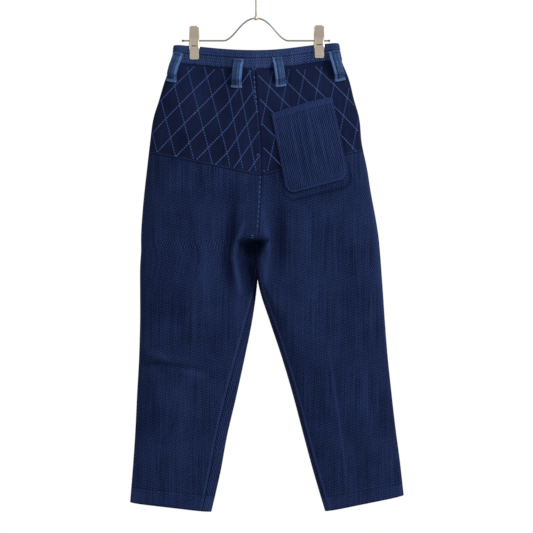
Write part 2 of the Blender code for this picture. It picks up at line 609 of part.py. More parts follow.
def make_hanger():
    """The arms, the eye they meet in, and the hook above it."""
    finish = material("nickel", NICKEL, 0.3, 1.0)
    start = EYE_RADIUS + SEAM_GAP
    for name, sign in (("hanger_arm_left", -1), ("hanger_arm_right", 1)):
        xs = [*np.linspace(start + 3, HUMP_HALF_WIDTH, 14), 80, ARM_END_X]
        path = [(sign * start, 0, -hump(start + 3)), *((sign * x, 0, -hump(x)) for x in xs)]
        wire_object(name, path, ARM_WIRE, finish)

    half = EYE_HEIGHT / 2
    bpy.ops.mesh.primitive_cylinder_add(vertices=20, radius=EYE_RADIUS * MM, depth=EYE_HEIGHT * MM)
    eye = bpy.context.object
    eye.name = "hanger_eye"
    eye.location = (0, 0, -HUMP_TOP_DROP * MM)
    soft = eye.modifiers.new("rounded", "BEVEL")
    soft.width = 1.2 * MM
    soft.segments = 2
    place(eye, finish)

    r = HOOK_INNER_RADIUS + HOOK_WIRE / 2
    centre = -HOOK_INNER_RADIUS
    stem_top = centre - r - 14
    stem_foot = -HUMP_TOP_DROP + half + SEAM_GAP
    points = [(0, 0, stem_foot), (0, 0, (stem_foot + stem_top) / 2), (0, 0, stem_top)]
    bend = math.radians(-42)
    end = np.array([r * math.cos(bend), centre + r * math.sin(bend)])
    along = np.array([-math.sin(bend), math.cos(bend)])
    control = np.array([[0, stem_top], [0, stem_top + 9], end - 11 * along, end])
    for k in range(1, 8):
        u = k / 8
        weights = np.array([(1 - u) ** 3, 3 * u * (1 - u) ** 2, 3 * u * u * (1 - u), u**3])
        x, z = weights @ control
        points.append((x, 0, z))
    for angle in np.linspace(bend, HOOK_TIP_ANGLE, 26):
        points.append((r * math.cos(angle), 0, centre + r * math.sin(angle)))
    wire_object("hanger_hook", points, HOOK_WIRE, finish)


def make_clip(clip):
    """A clip: two sheet jaws either side of the band, and the spring's hub that turns on the arm."""
    finish = material("nickel", NICKEL, 0.3, 1.0)
    grip = GRIP_HALF_GAP + BAND_PROUD + SEAM_GAP
    hub = HUB_RADIUS + SEAM_GAP
    # Rows of a jaw: share of its height from the top, how far it stands from the middle, and its width
    jaw_rows = [
        (0.00, JAW_TOP_SPREAD, 13.0),
        (0.03, JAW_TOP_SPREAD * 0.98, 17.5),
        (0.18, JAW_TOP_SPREAD * 0.80, 18.0),
        (0.34, hub + 0.9, 18.0),
        (0.46, hub + 0.2, 18.5),
        (0.58, hub + 0.25, 20.5),
        (0.70, grip + 0.1, 22.0),
        (0.95, grip + 0.1, 22.0),
        (1.00, grip + 0.7, 17.0),
    ]
    share, y, width = (np.array(values)[:, None] for values in zip(*jaw_rows))
    across = np.array([-0.5, -0.42, 0, 0.42, 0.5])[None, :]
    crown = np.array([-0.5, 0, 0, 0, -0.5])[None, :]
    for side, sign in (("back", -1), ("front", 1)):
        drop = clip.top_drop + share * (clip.foot_drop - clip.top_drop) + 0 * across
        inner = np.stack([clip.x + across * width, sign * y + 0 * across, -drop], axis=-1)
        outer = inner.copy()
        outer[..., 1] += sign * (JAW_SHEET + crown)
        wall_object(f"clip_{clip.name}_{side}_jaw", outer, inner, finish)

    profile = [
        (HUB_BORE_RADIUS, HUB_WIDTH / 2),
        (HUB_RADIUS, HUB_WIDTH / 2),
        (HUB_RADIUS, -HUB_WIDTH / 2),
        (HUB_BORE_RADIUS, -HUB_WIDTH / 2),
    ]
    mesh = bpy.data.meshes.new(f"clip_{clip.name}_hub")
    mesh.from_pydata([(a * MM, 0, b * MM) for a, b in profile], [(0, 1), (1, 2), (2, 3), (3, 0)], [])
    hub_object = bpy.data.objects.new(mesh.name, mesh)
    turned = hub_object.modifiers.new("turned", "SCREW")
    turned.steps = turned.render_steps = 20
    turned.use_merge_vertices = True
    turned.merge_threshold = 0.00001
    hub_object.location = (clip.x * MM, 0, -ARM_DROP * MM)
    hub_object.rotation_euler = (0, math.radians(90), 0)
    place(hub_object, finish)


def main():
    """Builds the whole part in an empty scene."""
    for obj in list(bpy.data.objects):
        bpy.data.objects.remove(obj)
    collection = bpy.data.collections.new("sashiko_trousers")
    bpy.context.scene.collection.children.link(collection)
    make_panels()
    make_waistband()
    for loop in LOOPS:
        make_belt_loop(loop)
    make_pocket()
    make_fly()
    make_button()
    make_hanger()
    for clip in CLIPS:
        make_clip(clip)


main()
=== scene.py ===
"""Sashiko trousers on a metal clip hanger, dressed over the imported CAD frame.

The trousers' back is shown and faces -Y, +X is the viewer's right and +Z is up. The origin is the point
under the top of the hook where it rests on a rail. Tables and shapes are in millimetres, heights are drops
below the origin, and meshes are in metres. Left and right are the viewer's, seen from behind the trousers.

Every sewn piece lies on one surface, `Cloth`, which repeats the CAD's tables and adds the finer folds.
"""

import logging
import math
from dataclasses import dataclass, field
from enum import Enum
from typing import Mapping, Sequence

import bpy
import numpy as np
from numpy.typing import NDArray
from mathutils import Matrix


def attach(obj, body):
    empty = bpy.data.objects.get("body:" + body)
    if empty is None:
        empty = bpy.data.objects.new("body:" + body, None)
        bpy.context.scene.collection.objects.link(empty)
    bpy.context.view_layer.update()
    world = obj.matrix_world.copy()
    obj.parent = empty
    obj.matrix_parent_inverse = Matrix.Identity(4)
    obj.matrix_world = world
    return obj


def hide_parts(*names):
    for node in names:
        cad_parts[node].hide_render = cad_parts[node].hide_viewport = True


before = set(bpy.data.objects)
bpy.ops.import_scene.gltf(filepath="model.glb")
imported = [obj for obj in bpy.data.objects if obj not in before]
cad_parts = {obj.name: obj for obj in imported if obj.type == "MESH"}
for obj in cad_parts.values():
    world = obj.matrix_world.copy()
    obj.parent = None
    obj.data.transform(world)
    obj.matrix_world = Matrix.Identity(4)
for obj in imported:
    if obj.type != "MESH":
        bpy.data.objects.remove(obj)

Array = NDArray[np.float64]
Ids = NDArray[np.int64]
Piece = bpy.types.Object
Material = bpy.types.Material
MM = 0.001
LOG = logging.getLogger("trousers")

# Levels of the cloth's tables by name
WAIST_SEAM, FORK, HEM = 1, 10, 18
# The levels where the yoke's seam meets the side fold and the centre seam, and how far off it slants rows
YOKE_SIDE, YOKE_CENTRE, YOKE_REACH = 5.34, 5.96, 1.2
YOKE_SEAM = (YOKE_SIDE + YOKE_CENTRE) / 2
# The level at which the turned hem is sewn
HEM_ROW = HEM - 0.39
SEAM_GAP = 0.3
BAND_PROUD = 1.5
HEM_TURN = 30.0
# Machine stitches: the thread's width, how far it stands out, and the share of the row's pitch that shows
SEWING_WIDTH, SEWING_HEIGHT, SEWING_SHARE = 0.9, 0.35, 0.68


class Side(Enum):
    """The viewer's left or right, as the sign of x."""

    LEFT = -1
    RIGHT = 1

    @property
    def word(self) -> str:
        """The side as it stands in the names of pieces."""
        return self.name.lower()


class Face(Enum):
    """The shown back or the hidden front of the trousers, as the sign of the turn."""

    BACK = 1
    FRONT = -1

    @property
    def word(self) -> str:
        """The face as it stands in the names of pieces."""
        return self.name.lower()


def smooth(value: Array | float, low: float, high: float) -> Array:
    """A soft step from 0 at low to 1 at high: 3s² - 2s³ of the share s of the way.

    Args:
        value: The numbers to step.
        low: Where the step starts.
        high: Where it ends; it may be below low, for a step down.

    Returns:
        The stepped numbers, from 0 to 1.
    """
    s = np.clip((np.asarray(value, float) - low) / (high - low), 0, 1)
    return s * s * (3 - 2 * s)


def round_rise(share: Array, power: Array | float) -> Array:
    """From 0 at an edge to 1 at the full depth: a quarter circle at power 2, a straight slope at 1."""
    share = np.clip(share, 0, 1)
    return np.clip(1 - (1 - share) ** power, 0, 1) ** (1 / power)


def bell(value: Array, middle: float, width: float) -> Array:
    """A soft bump of height 1: e to the power of minus the squared share of the width off its middle."""
    return np.exp(-(((value - middle) / width) ** 2))


def unit(vectors: Array) -> Array:
    """The vectors divided by their lengths."""
    return vectors / np.maximum(np.linalg.norm(vectors, axis=-1, keepdims=True), 1e-9)


def run_along(path: Array) -> Array:
    """The length run up to each point of a path, or of each row of a grid."""
    step = np.linalg.norm(np.diff(path, axis=-2), axis=-1)
    return np.cumsum(np.concatenate([np.zeros_like(step[..., :1]), step], axis=-1), axis=-1)


@dataclass(frozen=True)
class LegRow:
    """One level of a leg: its side fold, its inner edge and how the inner edge is rounded."""

    side_x: float
    side_drop: float
    inner_x: float
    inner_drop: float
    inner_round: float
    inner_power: float
    seam_shift: float


@dataclass(frozen=True)
class FullnessRow:
    """The depth of the cloth at one level, and how far its centre seams have closed under the fork."""

    back: float
    front: float
    fork_y: float
    side_round: float
    clip_hold: float
    back_closing: float
    front_closing: float
    front_lower: float


@dataclass(frozen=True)
class Table:
    """Rows of numbers that are joined smoothly between their levels."""

    rows: tuple[LegRow, ...] | tuple[FullnessRow, ...]

    def at(self, name: str, level: Array | float) -> Array:
        """One column, joined between its rows by Catmull and Rom's cubic.

        Args:
            name: The column's name.
            level: Levels, counted in rows from 0.

        Returns:
            The column's values at those levels.
        """
        values = np.array([getattr(row, name) for row in self.rows], float)
        last = len(values) - 1
        ends = [2 * values[0] - values[1]], [2 * values[-1] - values[-2]]
        padded = np.concatenate([ends[0], values, ends[1]])
        level = np.clip(np.asarray(level, float), 0, last)
        row = np.minimum(level.astype(int), last - 1)
        f = level - row
        before, start, end, after = (padded[row + k] for k in range(4))
        bend = 2 * before - 5 * start + 4 * end - after
        twist = 3 * (start - end) + after - before
        return start + 0.5 * f * (end - before + f * (bend + f * twist))


def leg(*rows: tuple[float, ...]) -> Table:
    """A leg's table from rows in the order of LegRow's fields."""
    return Table(tuple(LegRow(*row) for row in rows))


LEFT_LEG = leg(
    (-176.3, 159.1, 0.0, 171.8, 40, 2.0, 0),
    (-181.7, 197.8, -3.2, 211.8, 40, 2.0, 0),
    (-195.7, 233.3, -1.1, 250.5, 40, 2.0, 0),
    (-208.6, 276.3, 3.2, 293.5, 40, 2.0, 0),
    (-221.5, 319.3, 7.5, 336.5, 40, 2.0, 0),
    (-228.6, 373.0, 10.8, 388.1, 40, 2.0, 0),
    (-234.8, 426.8, 10.8, 444.0, 40, 2.0, 0),
    (-240.8, 480.5, 8.6, 497.7, 40, 1.6, 0),
    (-245.1, 530.0, 5.4, 545.0, 34, 1.1, 0),
    (-247.3, 568.7, 3.2, 573.0, 42, 0.8, 0),
    (-247.3, 601.0, 4.2, 584.8, 49, 0.7, 0),
    (-249.4, 637.5, 6.4, 620.3, 52, 0.7, 2),
    (-249.4, 689.0, 2.0, 680.5, 34, 1.2, 6),
    (-249.4, 753.6, -8.6, 753.6, 48, 1.8, 14),
    (-251.6, 831.0, -24.7, 833.1, 55, 2.0, 20),
    (-255.9, 910.5, -43.0, 917.0, 52, 2.0, 24),
    (-259.5, 985.8, -61.7, 996.5, 48, 2.0, 24),
    (-264.5, 1061.0, -76.3, 1076.0, 42, 2.0, 24),
    (-270.9, 1140.6, -95.7, 1161.0, 36, 2.0, 23),
)
RIGHT_LEG = leg(
    (177.4, 154.8, 0.0, 171.8, 40, 2.0, 0),
    (184.5, 191.4, -3.2, 211.8, 40, 2.0, 0),
    (200.0, 231.1, -1.1, 250.5, 40, 2.0, 0),
    (210.7, 274.1, 3.2, 293.5, 40, 2.0, 0),
    (222.5, 317.1, 7.5, 336.5, 40, 2.0, 0),
    (227.5, 368.7, 10.8, 388.1, 40, 2.0, 0),
    (238.7, 422.5, 10.8, 444.0, 40, 2.0, 0),
    (247.3, 476.2, 8.6, 497.7, 36, 1.6, 0),
    (256.9, 527.8, 5.4, 545.0, 26, 1.1, 0),
    (263.4, 568.7, 3.2, 573.0, 28, 0.8, 0),
    (266.6, 601.0, 2.4, 584.8, 22, 0.9, 0),
    (269.4, 637.5, 0.2, 620.3, 12, 1.8, 3),
    (273.1, 689.0, 6.8, 680.5, 18, 2.0, 6),
    (277.4, 753.6, 30.1, 753.6, 45, 1.8, 9),
    (283.2, 826.7, 55.9, 831.0, 55, 2.0, 9),
    (291.3, 904.0, 80.0, 912.7, 52, 2.0, 9),
    (299.9, 979.3, 101.5, 994.4, 48, 2.0, 9),
    (309.6, 1052.4, 123.6, 1076.0, 42, 2.0, 9),
    (317.8, 1125.5, 148.4, 1159.9, 36, 2.0, 9),
)
FULLNESS = Table(
    tuple(
        FullnessRow(*row)
        for row in (
            (22, 18, 0, 10, 1.0, 0, 0, 10),
            (26, 21, 0, 11, 1.0, 0, 0, 10),
            (31, 25, 0, 50, 0.70, 0, 0, 9),
            (36, 28, 0, 75, 0.40, 0, 0, 8),
            (41, 31, 0, 90, 0.18, 0, 0, 6),
            (45, 33, 0, 100, 0.05, 0, 0, 4),
            (47, 34, 0, 105, 0.0, 0, 0, 1),
            (48, 34, 0, 105, 0.0, 0, 0.03, -3),
            (48, 34, 2, 100, 0.0, 0, 0.14, -6),
            (46, 34, 6, 95, 0.0, 0.08, 0.42, -5),
            (45, 34, 10, 90, 0.0, 1, 1, 0),
            (43, 34, 11, 85, 0.0, 1, 1, 0),
            (41, 33, 8, 80, 0.0, 1, 1, 0),
            (38, 32, 4, 75, 0.0, 1, 1, 0),
            (35, 30, 0, 70, 0.0, 1, 1, 0),
            (31, 27, 0, 62, 0.0, 1, 1, 0),
            (27, 24, 0, 55, 0.0, 1, 1, 0),
            (22, 20, 0, 48, 0.0, 1, 1, 0),
            (17, 16, 0, 40, 0.0, 1, 1, 0),
        )
    )
)


@dataclass(frozen=True)
class ClipPlace:
    """Where a clip grips the band, and the drops of its jaws' ends."""

    name: str
    x: float
    top_drop: float
    foot_drop: float


CLIPS = {
    Side.LEFT: ClipPlace("left", -132.4, 118.3, 189.6),
    Side.RIGHT: ClipPlace("right", 136.1, 116.7, 186.4),
}


@dataclass(frozen=True)
class Crease:
    """A soft trough along a bent line on the cloth; a negative depth makes it a ridge.

    The height is depth·(1 - shoulder·q)·exp(-q), where q is the squared share of the half width that a
    point is away from the line. It fades to nothing at both ends.
    """

    path: tuple[tuple[float, float], ...]
    half_width: float
    depth: float
    shoulder: float = 0.0

    def sink(self, x: Array, drop: Array) -> Array:
        """How far the crease sinks the cloth.

        Args:
            x: Places across, in millimetres.
            drop: Drops of the same places.

        Returns:
            The sink in millimetres, negative where it lifts.
        """
        knots = np.array(self.path, float)
        share = np.linspace(0, len(knots) - 1, 6 * (len(knots) - 1) + 1)
        line = np.stack([np.interp(share, np.arange(len(knots)), knots[:, k]) for k in (0, 1)], axis=1)
        run = run_along(line)
        reach = 2.6 * self.half_width
        near = (x > line[:, 0].min() - reach) & (x < line[:, 0].max() + reach)
        near &= (drop > line[:, 1].min() - reach) & (drop < line[:, 1].max() + reach)
        sunk = np.zeros(x.shape)
        if not near.any():
            return sunk
        px, pd = x[near], drop[near]
        far, where = np.full(px.shape, np.inf), np.zeros(px.shape)
        for start, end, walked in zip(line[:-1], line[1:], run[:-1]):
            step = end - start
            length = np.hypot(*step)
            s = np.clip(((px - start[0]) * step[0] + (pd - start[1]) * step[1]) / length**2, 0, 1)
            away = (px - start[0] - s * step[0]) ** 2 + (pd - start[1] - s * step[1]) ** 2
            closer = away < far
            far = np.where(closer, away, far)
            where = np.where(closer, walked + s * length, where)
        q = far / self.half_width**2
        ends = np.sin(np.clip(where / run[-1], 0, 1) * math.pi) ** 0.7
        sunk[near] = self.depth * ends * np.exp(-q) * (1 - self.shoulder * q)
        return sunk


def creases(*rows: tuple) -> tuple[Crease, ...]:
    """Creases from rows in the order of Crease's fields."""
    return tuple(Crease(*row) for row in rows)


# The folds of the shown side, from the largest to the smallest
BACK_FOLDS = creases(
    (((-50, 440), (-58, 690)), 13, 5.0),
    (((44, 410), (54, 660)), 13, 4.5),
    (((-252, 836), (-185, 848)), 10, 1.6),
    # Under the seat, beside the fork
    (((-22, 535), (-30, 554), (-43, 584), (-48, 612), (-42, 652), (-32, 700)), 8, -8.0, 0.5),
    (((-46, 500), (-60, 577), (-66, 620), (-60, 660), (-52, 700)), 10, 3.0),
    (((10, 548), (24, 580), (26, 610), (20, 640), (18, 680)), 8, -5.0, 0.3),
    (((44, 520), (55, 560), (56, 610), (48, 660)), 9, 2.4),
    (((-90, 520), (-110, 640), (-112, 760)), 26, -3.0),
    (((90, 500), (108, 640), (128, 780)), 28, -2.6),
    (((-170, 560), (-176, 700), (-180, 800)), 30, 2.0),
    (((190, 540), (205, 700), (214, 820)), 30, 2.0),
    # At the left knee
    (((-238, 818), (-205, 826), (-182, 836)), 8, -3.4),
    (((-250, 846), (-205, 841), (-165, 847), (-112, 855)), 6, 3.6, 0.4),
    (((-165, 856), (-130, 864), (-100, 876)), 9, -3.2),
    (((-120, 780), (-90, 812), (-66, 850)), 10, 1.8),
    # Down the right leg
    (((150, 786), (168, 900), (182, 1010), (194, 1112)), 6, -1.4, 0.2),
    (((236, 800), (252, 900), (266, 1010)), 16, 1.8),
    (((110, 820), (134, 930), (152, 1040)), 16, 1.6),
    (((-214, 880), (-212, 980), (-216, 1080)), 16, 1.6),
    (((-150, 890), (-158, 990), (-170, 1090)), 18, -1.6),
    # Under the clips and round the seat
    (((-133, 214), (-128, 262), (-118, 320)), 16, -2.2, 0.3),
    (((136, 212), (132, 262), (124, 320)), 16, -2.2, 0.3),
    (((-190, 300), (-150, 390), (-120, 470)), 24, 2.2),
    (((196, 300), (214, 380), (222, 470)), 20, 1.8),
    (((-60, 300), (-66, 380), (-62, 450)), 22, 1.8),
    (((12, 330), (26, 400), (40, 470)), 14, 1.6),
)
# Tone along lines, as creases whose depth is the tone: painted highlight on the ridges beside the fork and
# painted shade in the hollow and folds round it
BACK_WEAR_AND_SHADE = creases(
    (((-22, 530), (-30, 554), (-43, 584), (-48, 612), (-42, 652), (-33, 705)), 5, -1.0),
    (((-44, 500), (-55, 560), (-62, 612), (-56, 660), (-50, 710)), 7, 0.5),
    (((-14, 590), (-19, 620), (-15, 660), (-12, 700)), 9, 1.3),
    (((-28, 600), (-30, 640), (-25, 680)), 3, 0.5),
    (((-8, 600), (-10, 640), (-8, 680)), 2, -0.6),
    (((14, 505), (27, 572), (24, 604)), 6, -0.9),
    (((10, 606), (15, 640), (16, 690)), 9, -0.7),
    (((36, 540), (42, 590), (40, 640)), 5, 0.15),
    # Long light slubs and rubbed places down the legs, with painted highlight on the left knee's ridge and
    # down the right leg's side fold
    (((150, 780), (168, 900), (178, 964), (190, 1061), (198, 1120)), 1.8, -0.8),
    (((118, 560), (126, 680), (138, 800)), 1.6, -0.4),
    (((206, 520), (218, 660), (230, 790)), 1.6, -0.5),
    (((160, 480), (168, 600), (180, 700)), 1.4, -0.35),
    (((-106, 520), (-108, 660), (-112, 780)), 1.6, -0.4),
    (((-166, 600), (-168, 720), (-172, 820)), 1.4, -0.3),
    (((-196, 880), (-204, 1000), (-214, 1120)), 1.6, -0.45),
    (((-152, 900), (-158, 1000), (-166, 1110)), 1.4, -0.35),
    (((226, 820), (240, 930), (256, 1040)), 12, -0.3),
    (((-146, 856), (-134, 868), (-122, 884)), 12, -0.35),
    (((224, 380), (245, 485), (257, 560), (267, 650), (273, 740), (281, 840)), 5, -0.6),
    # Painted shadow round the pocket's edge
    (((28, 306), (60, 482), (78, 494), (190, 466), (203, 450), (170, 272)), 2.4, 0.8),
)
# The folds of the hidden side: the same kinds, at the same places of strain
FRONT_FOLDS = creases(
    (((-40, 520), (-70, 600), (-84, 700)), 12, 3.2),
    (((46, 515), (78, 600), (100, 700)), 12, 3.2),
    (((-20, 560), (-34, 600), (-40, 660)), 8, -3.0, 0.3),
    (((22, 560), (40, 600), (52, 660)), 8, -3.0, 0.3),
    (((-133, 214), (-124, 280), (-112, 350)), 16, 2.4),
    (((136, 212), (128, 280), (118, 350)), 16, 2.4),
    (((-230, 824), (-180, 838), (-130, 850)), 9, 2.6, 0.3),
    (((150, 820), (200, 832), (260, 838)), 9, 2.4, 0.3),
    (((-160, 620), (-158, 760), (-166, 900)), 26, -2.4),
    (((170, 620), (190, 760), (214, 900)), 26, -2.4),
)


@dataclass(frozen=True)
class Cloth:
    """The surface that the panels, the band and everything sewn on them lie on."""

    grip_half_gap: float = 3.15
    clip_flat: float = 12.5
    side_loop_rise: float = 5.5
    yoke_lift: float = 1.0
    fell_width: float = 9.0
    fell_lift: float = 0.8
    inseam_lift: float = 2.0

    def table(self, side: Side) -> Table:
        """The table of one leg."""
        return LEFT_LEG if side is Side.LEFT else RIGHT_LEG

    def centre_x(self, drop: Array) -> Array:
        """Where the centre seam is at a drop, and below the fork the middle between the legs."""
        drops = [row.inner_drop for row in LEFT_LEG.rows]
        middle = [(a.inner_x + b.inner_x) / 2 for a, b in zip(LEFT_LEG.rows, RIGHT_LEG.rows)]
        return np.interp(drop, drops, middle)

    def yoke_line(self, side: Side, turn: Array) -> Array:
        """The x and drop of the yoke's lower edge, which falls towards the centre seam, on the back."""
        points = self.points(side, YOKE_SIDE + (YOKE_CENTRE - YOKE_SIDE) * turn, turn, fine=False)
        return np.stack([points[..., 0], -points[..., 2]], axis=-1)

    def yoke_drop(self, x: Array) -> Array:
        """The drop of the yoke's lower edge at x."""
        turn = np.linspace(0, 1, 40)
        line = np.concatenate([self.yoke_line(Side.LEFT, turn), self.yoke_line(Side.RIGHT, turn)[::-1]])
        return np.interp(x, line[:, 0], line[:, 1])

    def pinch(self, side: Side, level: Array, x: Array, depth: Array) -> Array:
        """The half depth of the band: flat at the clip, and bowed out by cos² between the clips.

        Args:
            side: The side of the trousers.
            level: Levels, in rows of the tables.
            x: Places across.
            depth: The half depth without the clips.

        Returns:
            The half depth that is left.
        """
        fold_x = self.table(side).at("side_x", level)
        clip_x = abs(CLIPS[side].x)
        bow = np.cos(np.clip(np.abs(x) / (clip_x - self.clip_flat), 0, 1) * math.pi / 2) ** 2
        beyond = np.abs(x) - clip_x - self.clip_flat
        outside = np.clip(beyond / (np.abs(fold_x) - clip_x - self.clip_flat), 0, 1)
        loop = self.side_loop_rise * np.sin(np.clip(outside * 1.4, 0, 1) * math.pi / 2) ** 2
        fold = round_rise((np.abs(fold_x) - np.abs(x)) / FULLNESS.at("side_round", level), 2.0)
        return (self.grip_half_gap + (depth - self.grip_half_gap) * bow + loop) * fold

    def relief(self, x: Array, drop: Array, face: Face) -> Array:
        """How far the cloth stands out from its plain form: its folds and the felled centre seam.

        Args:
            x: Places across, in millimetres.
            drop: Drops of the same places.
            face: The side of the trousers.

        Returns:
            The height in millimetres.
        """
        folds = BACK_FOLDS if face is Face.BACK else FRONT_FOLDS
        height = -sum(crease.sink(x, drop) for crease in folds)
        if face is Face.BACK:
            from_seam = x - self.centre_x(drop)
            fell = smooth(from_seam, 1.5, 3.0)
            fell = fell * smooth(from_seam, self.fell_width + 1.0, self.fell_width - 1.0)
            groove = 1.1 * bell(from_seam, 1.2, 1.3) - 0.7 * bell(from_seam, -2.0, 2.0)
            height = height + (self.fell_lift * fell - groove) * smooth(drop, 578, 568)
        return height

    def inseam(self, side: Side, level: Array, share: Array, width: Array) -> Array:
        """The height of the felled inside leg seam: a rounded ridge, and a groove on the side of the edge.

        Args:
            side: The leg.
            level: Levels of the points.
            share: Shares of the way from the side fold to the inner edge.
            width: The width of the leg at those levels.

        Returns:
            The height in millimetres.
        """
        from_seam = (1 - share) * width - np.clip(self.table(side).at("seam_shift", level), 0, None)
        ridge = bell(from_seam, 1.6, 2.2) - 0.9 * bell(from_seam, -2.4, 1.7)
        ridge = ridge * smooth(level, FORK + 0.9, FORK + 2.0) * smooth(level, HEM, HEM - 0.1)
        return self.inseam_lift * ridge

    def drop_at(self, side: Side, level: Array, turn: Array) -> Array:
        """The drop of points of the cloth; see points.

        Args:
            side: The side of the trousers.
            level: Levels, in rows of the tables.
            turn: Shares of the half turn, from the side fold.

        Returns:
            The drops in millimetres.
        """
        rows = self.table(side)
        share = np.abs(turn)
        lower = np.where(turn >= 0, 0, FULLNESS.at("front_lower", level))
        inner = rows.at("inner_drop", level) + lower
        hold = np.clip(FULLNESS.at("clip_hold", level), 0, 1)
        sag = hold * (1 - np.cos(math.pi * share)) / 2 + (1 - hold) * share
        fold = rows.at("side_drop", level)
        return fold + (inner - fold) * sag

    def points(
        self,
        side: Side,
        level: Array | float,
        turn: Array | float,
        fine: bool = True,
        on_yoke: bool | None = None,
    ) -> Array:
        """Points of the outer surface.

        Turn runs from the side fold at 0 to the inner edge at 1 over the back, and to -1 over the front. A
        row is a flat tube: x goes straight from edge to edge, and its half depth rises from each edge as part
        of a superellipse.

        Args:
            side: The leg.
            level: Levels, counted in rows of the tables.
            turn: Turns of the same shape.
            fine: Whether the folds and seams are added.
            on_yoke: Whether the points are the yoke's, which laps over the legs' panels; if it isn't said,
                the points above the yoke's seam are.

        Returns:
            The points in millimetres, with their three numbers last.
        """
        level, turn = np.broadcast_arrays(np.asarray(level, float), np.asarray(turn, float))
        rows = self.table(side)
        back = turn >= 0
        share = np.abs(turn)
        side_x, inner_x = rows.at("side_x", level), rows.at("inner_x", level)
        width = np.abs(inner_x - side_x)
        x = side_x + (inner_x - side_x) * share
        drop = self.drop_at(side, level, turn)
        depth = np.where(back, FULLNESS.at("back", level), FULLNESS.at("front", level))
        closed = np.where(back, FULLNESS.at("back_closing", level), FULLNESS.at("front_closing", level))
        inner = round_rise((1 - share) * width / rows.at("inner_round", level), rows.at("inner_power", level))
        inner_rise = 1 - np.clip(closed, 0, 1) * (1 - inner)
        side_rise = round_rise(share * width / FULLNESS.at("side_round", level), 2.0)
        hold = np.clip(FULLNESS.at("clip_hold", level), 0, 1)
        half = depth * side_rise * inner_rise * (1 - hold) + self.pinch(side, level, x, depth) * hold
        y = FULLNESS.at("fork_y", level) * share**2 + np.where(back, -half, half)
        if fine:
            window = inner_rise * smooth(share * width, 0, 14) * smooth(level, WAIST_SEAM, WAIST_SEAM + 0.25)
            high = np.where(back, self.relief(x, drop, Face.BACK), self.relief(x, drop, Face.FRONT))
            seam = YOKE_SIDE + (YOKE_CENTRE - YOKE_SIDE) * share
            lapped = smooth(level, seam + 0.02, seam - 0.02) if on_yoke is None else float(on_yoke)
            high = high + self.yoke_lift * lapped + np.where(back, self.inseam(side, level, share, width), 0)
            y = y + np.where(back, -1, 1) * high * window
        return np.stack([x, y, -drop], axis=-1)

    def place(self, x: Array, drop: Array, face: Face, on_yoke: bool | None = None) -> tuple[Array, Array]:
        """The points of the surface seen at x and drop, found by halving the level, and their normals.

        Args:
            x: Places across, in millimetres.
            drop: Drops of the same places.
            face: The side of the trousers.
            on_yoke: As for points.

        Returns:
            The points and the unit normals, which point out.
        """
        x, drop = np.broadcast_arrays(np.asarray(x, float), np.asarray(drop, float))

        def find(x: Array, drop: Array) -> Array:
            """The points at x and drop.

            Args:
                x: Places across, in millimetres.
                drop: Drops of the same places.

            Returns:
                The points.
            """
            found = np.zeros(x.shape + (3,))
            on_left = x < self.centre_x(drop)
            for side, chosen in ((Side.LEFT, on_left), (Side.RIGHT, ~on_left)):
                if not chosen.any():
                    continue
                px, pd, rows = x[chosen], drop[chosen], self.table(side)
                low, high = np.zeros(px.shape), np.full(px.shape, float(HEM))
                for _ in range(30):
                    middle = (low + high) / 2
                    fold_x = rows.at("side_x", middle)
                    turn = (px - fold_x) / (rows.at("inner_x", middle) - fold_x)
                    turn = np.clip(turn, 1e-4, 1) * face.value
                    above = self.drop_at(side, middle, turn) < pd
                    low, high = np.where(above, middle, low), np.where(above, high, middle)
                found[chosen] = self.points(side, middle, turn, on_yoke=on_yoke)
            return found

        step = 1.0
        across = find(x + step, drop) - find(x - step, drop)
        down = find(x, drop + step) - find(x, drop - step)
        normal = unit(np.cross(across, down))
        return find(x, drop), normal * np.where(normal[..., 1:2] * face.value > 0, -1, 1)


CLOTH = Cloth()


def spread_evenly(path: Array, walk: Array, share: Array) -> Array:
    """The walk at even shares of each row's length, for all the rows of a path at once.

    Each row's length is scaled to 1 and set after the row before it, so that one interpolation serves all.

    Args:
        path: Points, in rows.
        walk: The number that grows along each row, one for each point.
        share: The shares of a row's length that are wanted.

    Returns:
        For each row, the walk at those shares.
    """
    run = run_along(path)
    rows = np.arange(len(path))[:, None]
    known = run / run[:, -1:] * (1 - 1e-9) + rows
    wanted = share[None, :] * (1 - 1e-9) + rows
    place = np.interp(wanted.ravel(), known.ravel(), np.arange(known.size)).reshape(wanted.shape)
    base = np.clip(np.floor(place).astype(int), 0, known.size - 2)
    flat = walk.ravel()
    return flat[base] + (flat[base + 1] - flat[base]) * (place - base)


def flat_places(grid: Array, reference: int, sign: float) -> Array:
    """Where the points of a grid lie on the flat cloth, in metres.

    U is the run in plan along a row from the reference column, and V is the height.

    Args:
        grid: Points in millimetres, in rows and columns.
        reference: The column that the grain follows.
        sign: 1 if the columns run to the viewer's right, and -1 if they don't.

    Returns:
        U and V of each point.
    """
    across = run_along(grid[..., :2])
    u = sign * (across - across[:, reference : reference + 1]) + grid[:, reference : reference + 1, 0]
    return np.stack([u, grid[..., 2]], axis=-1) * MM


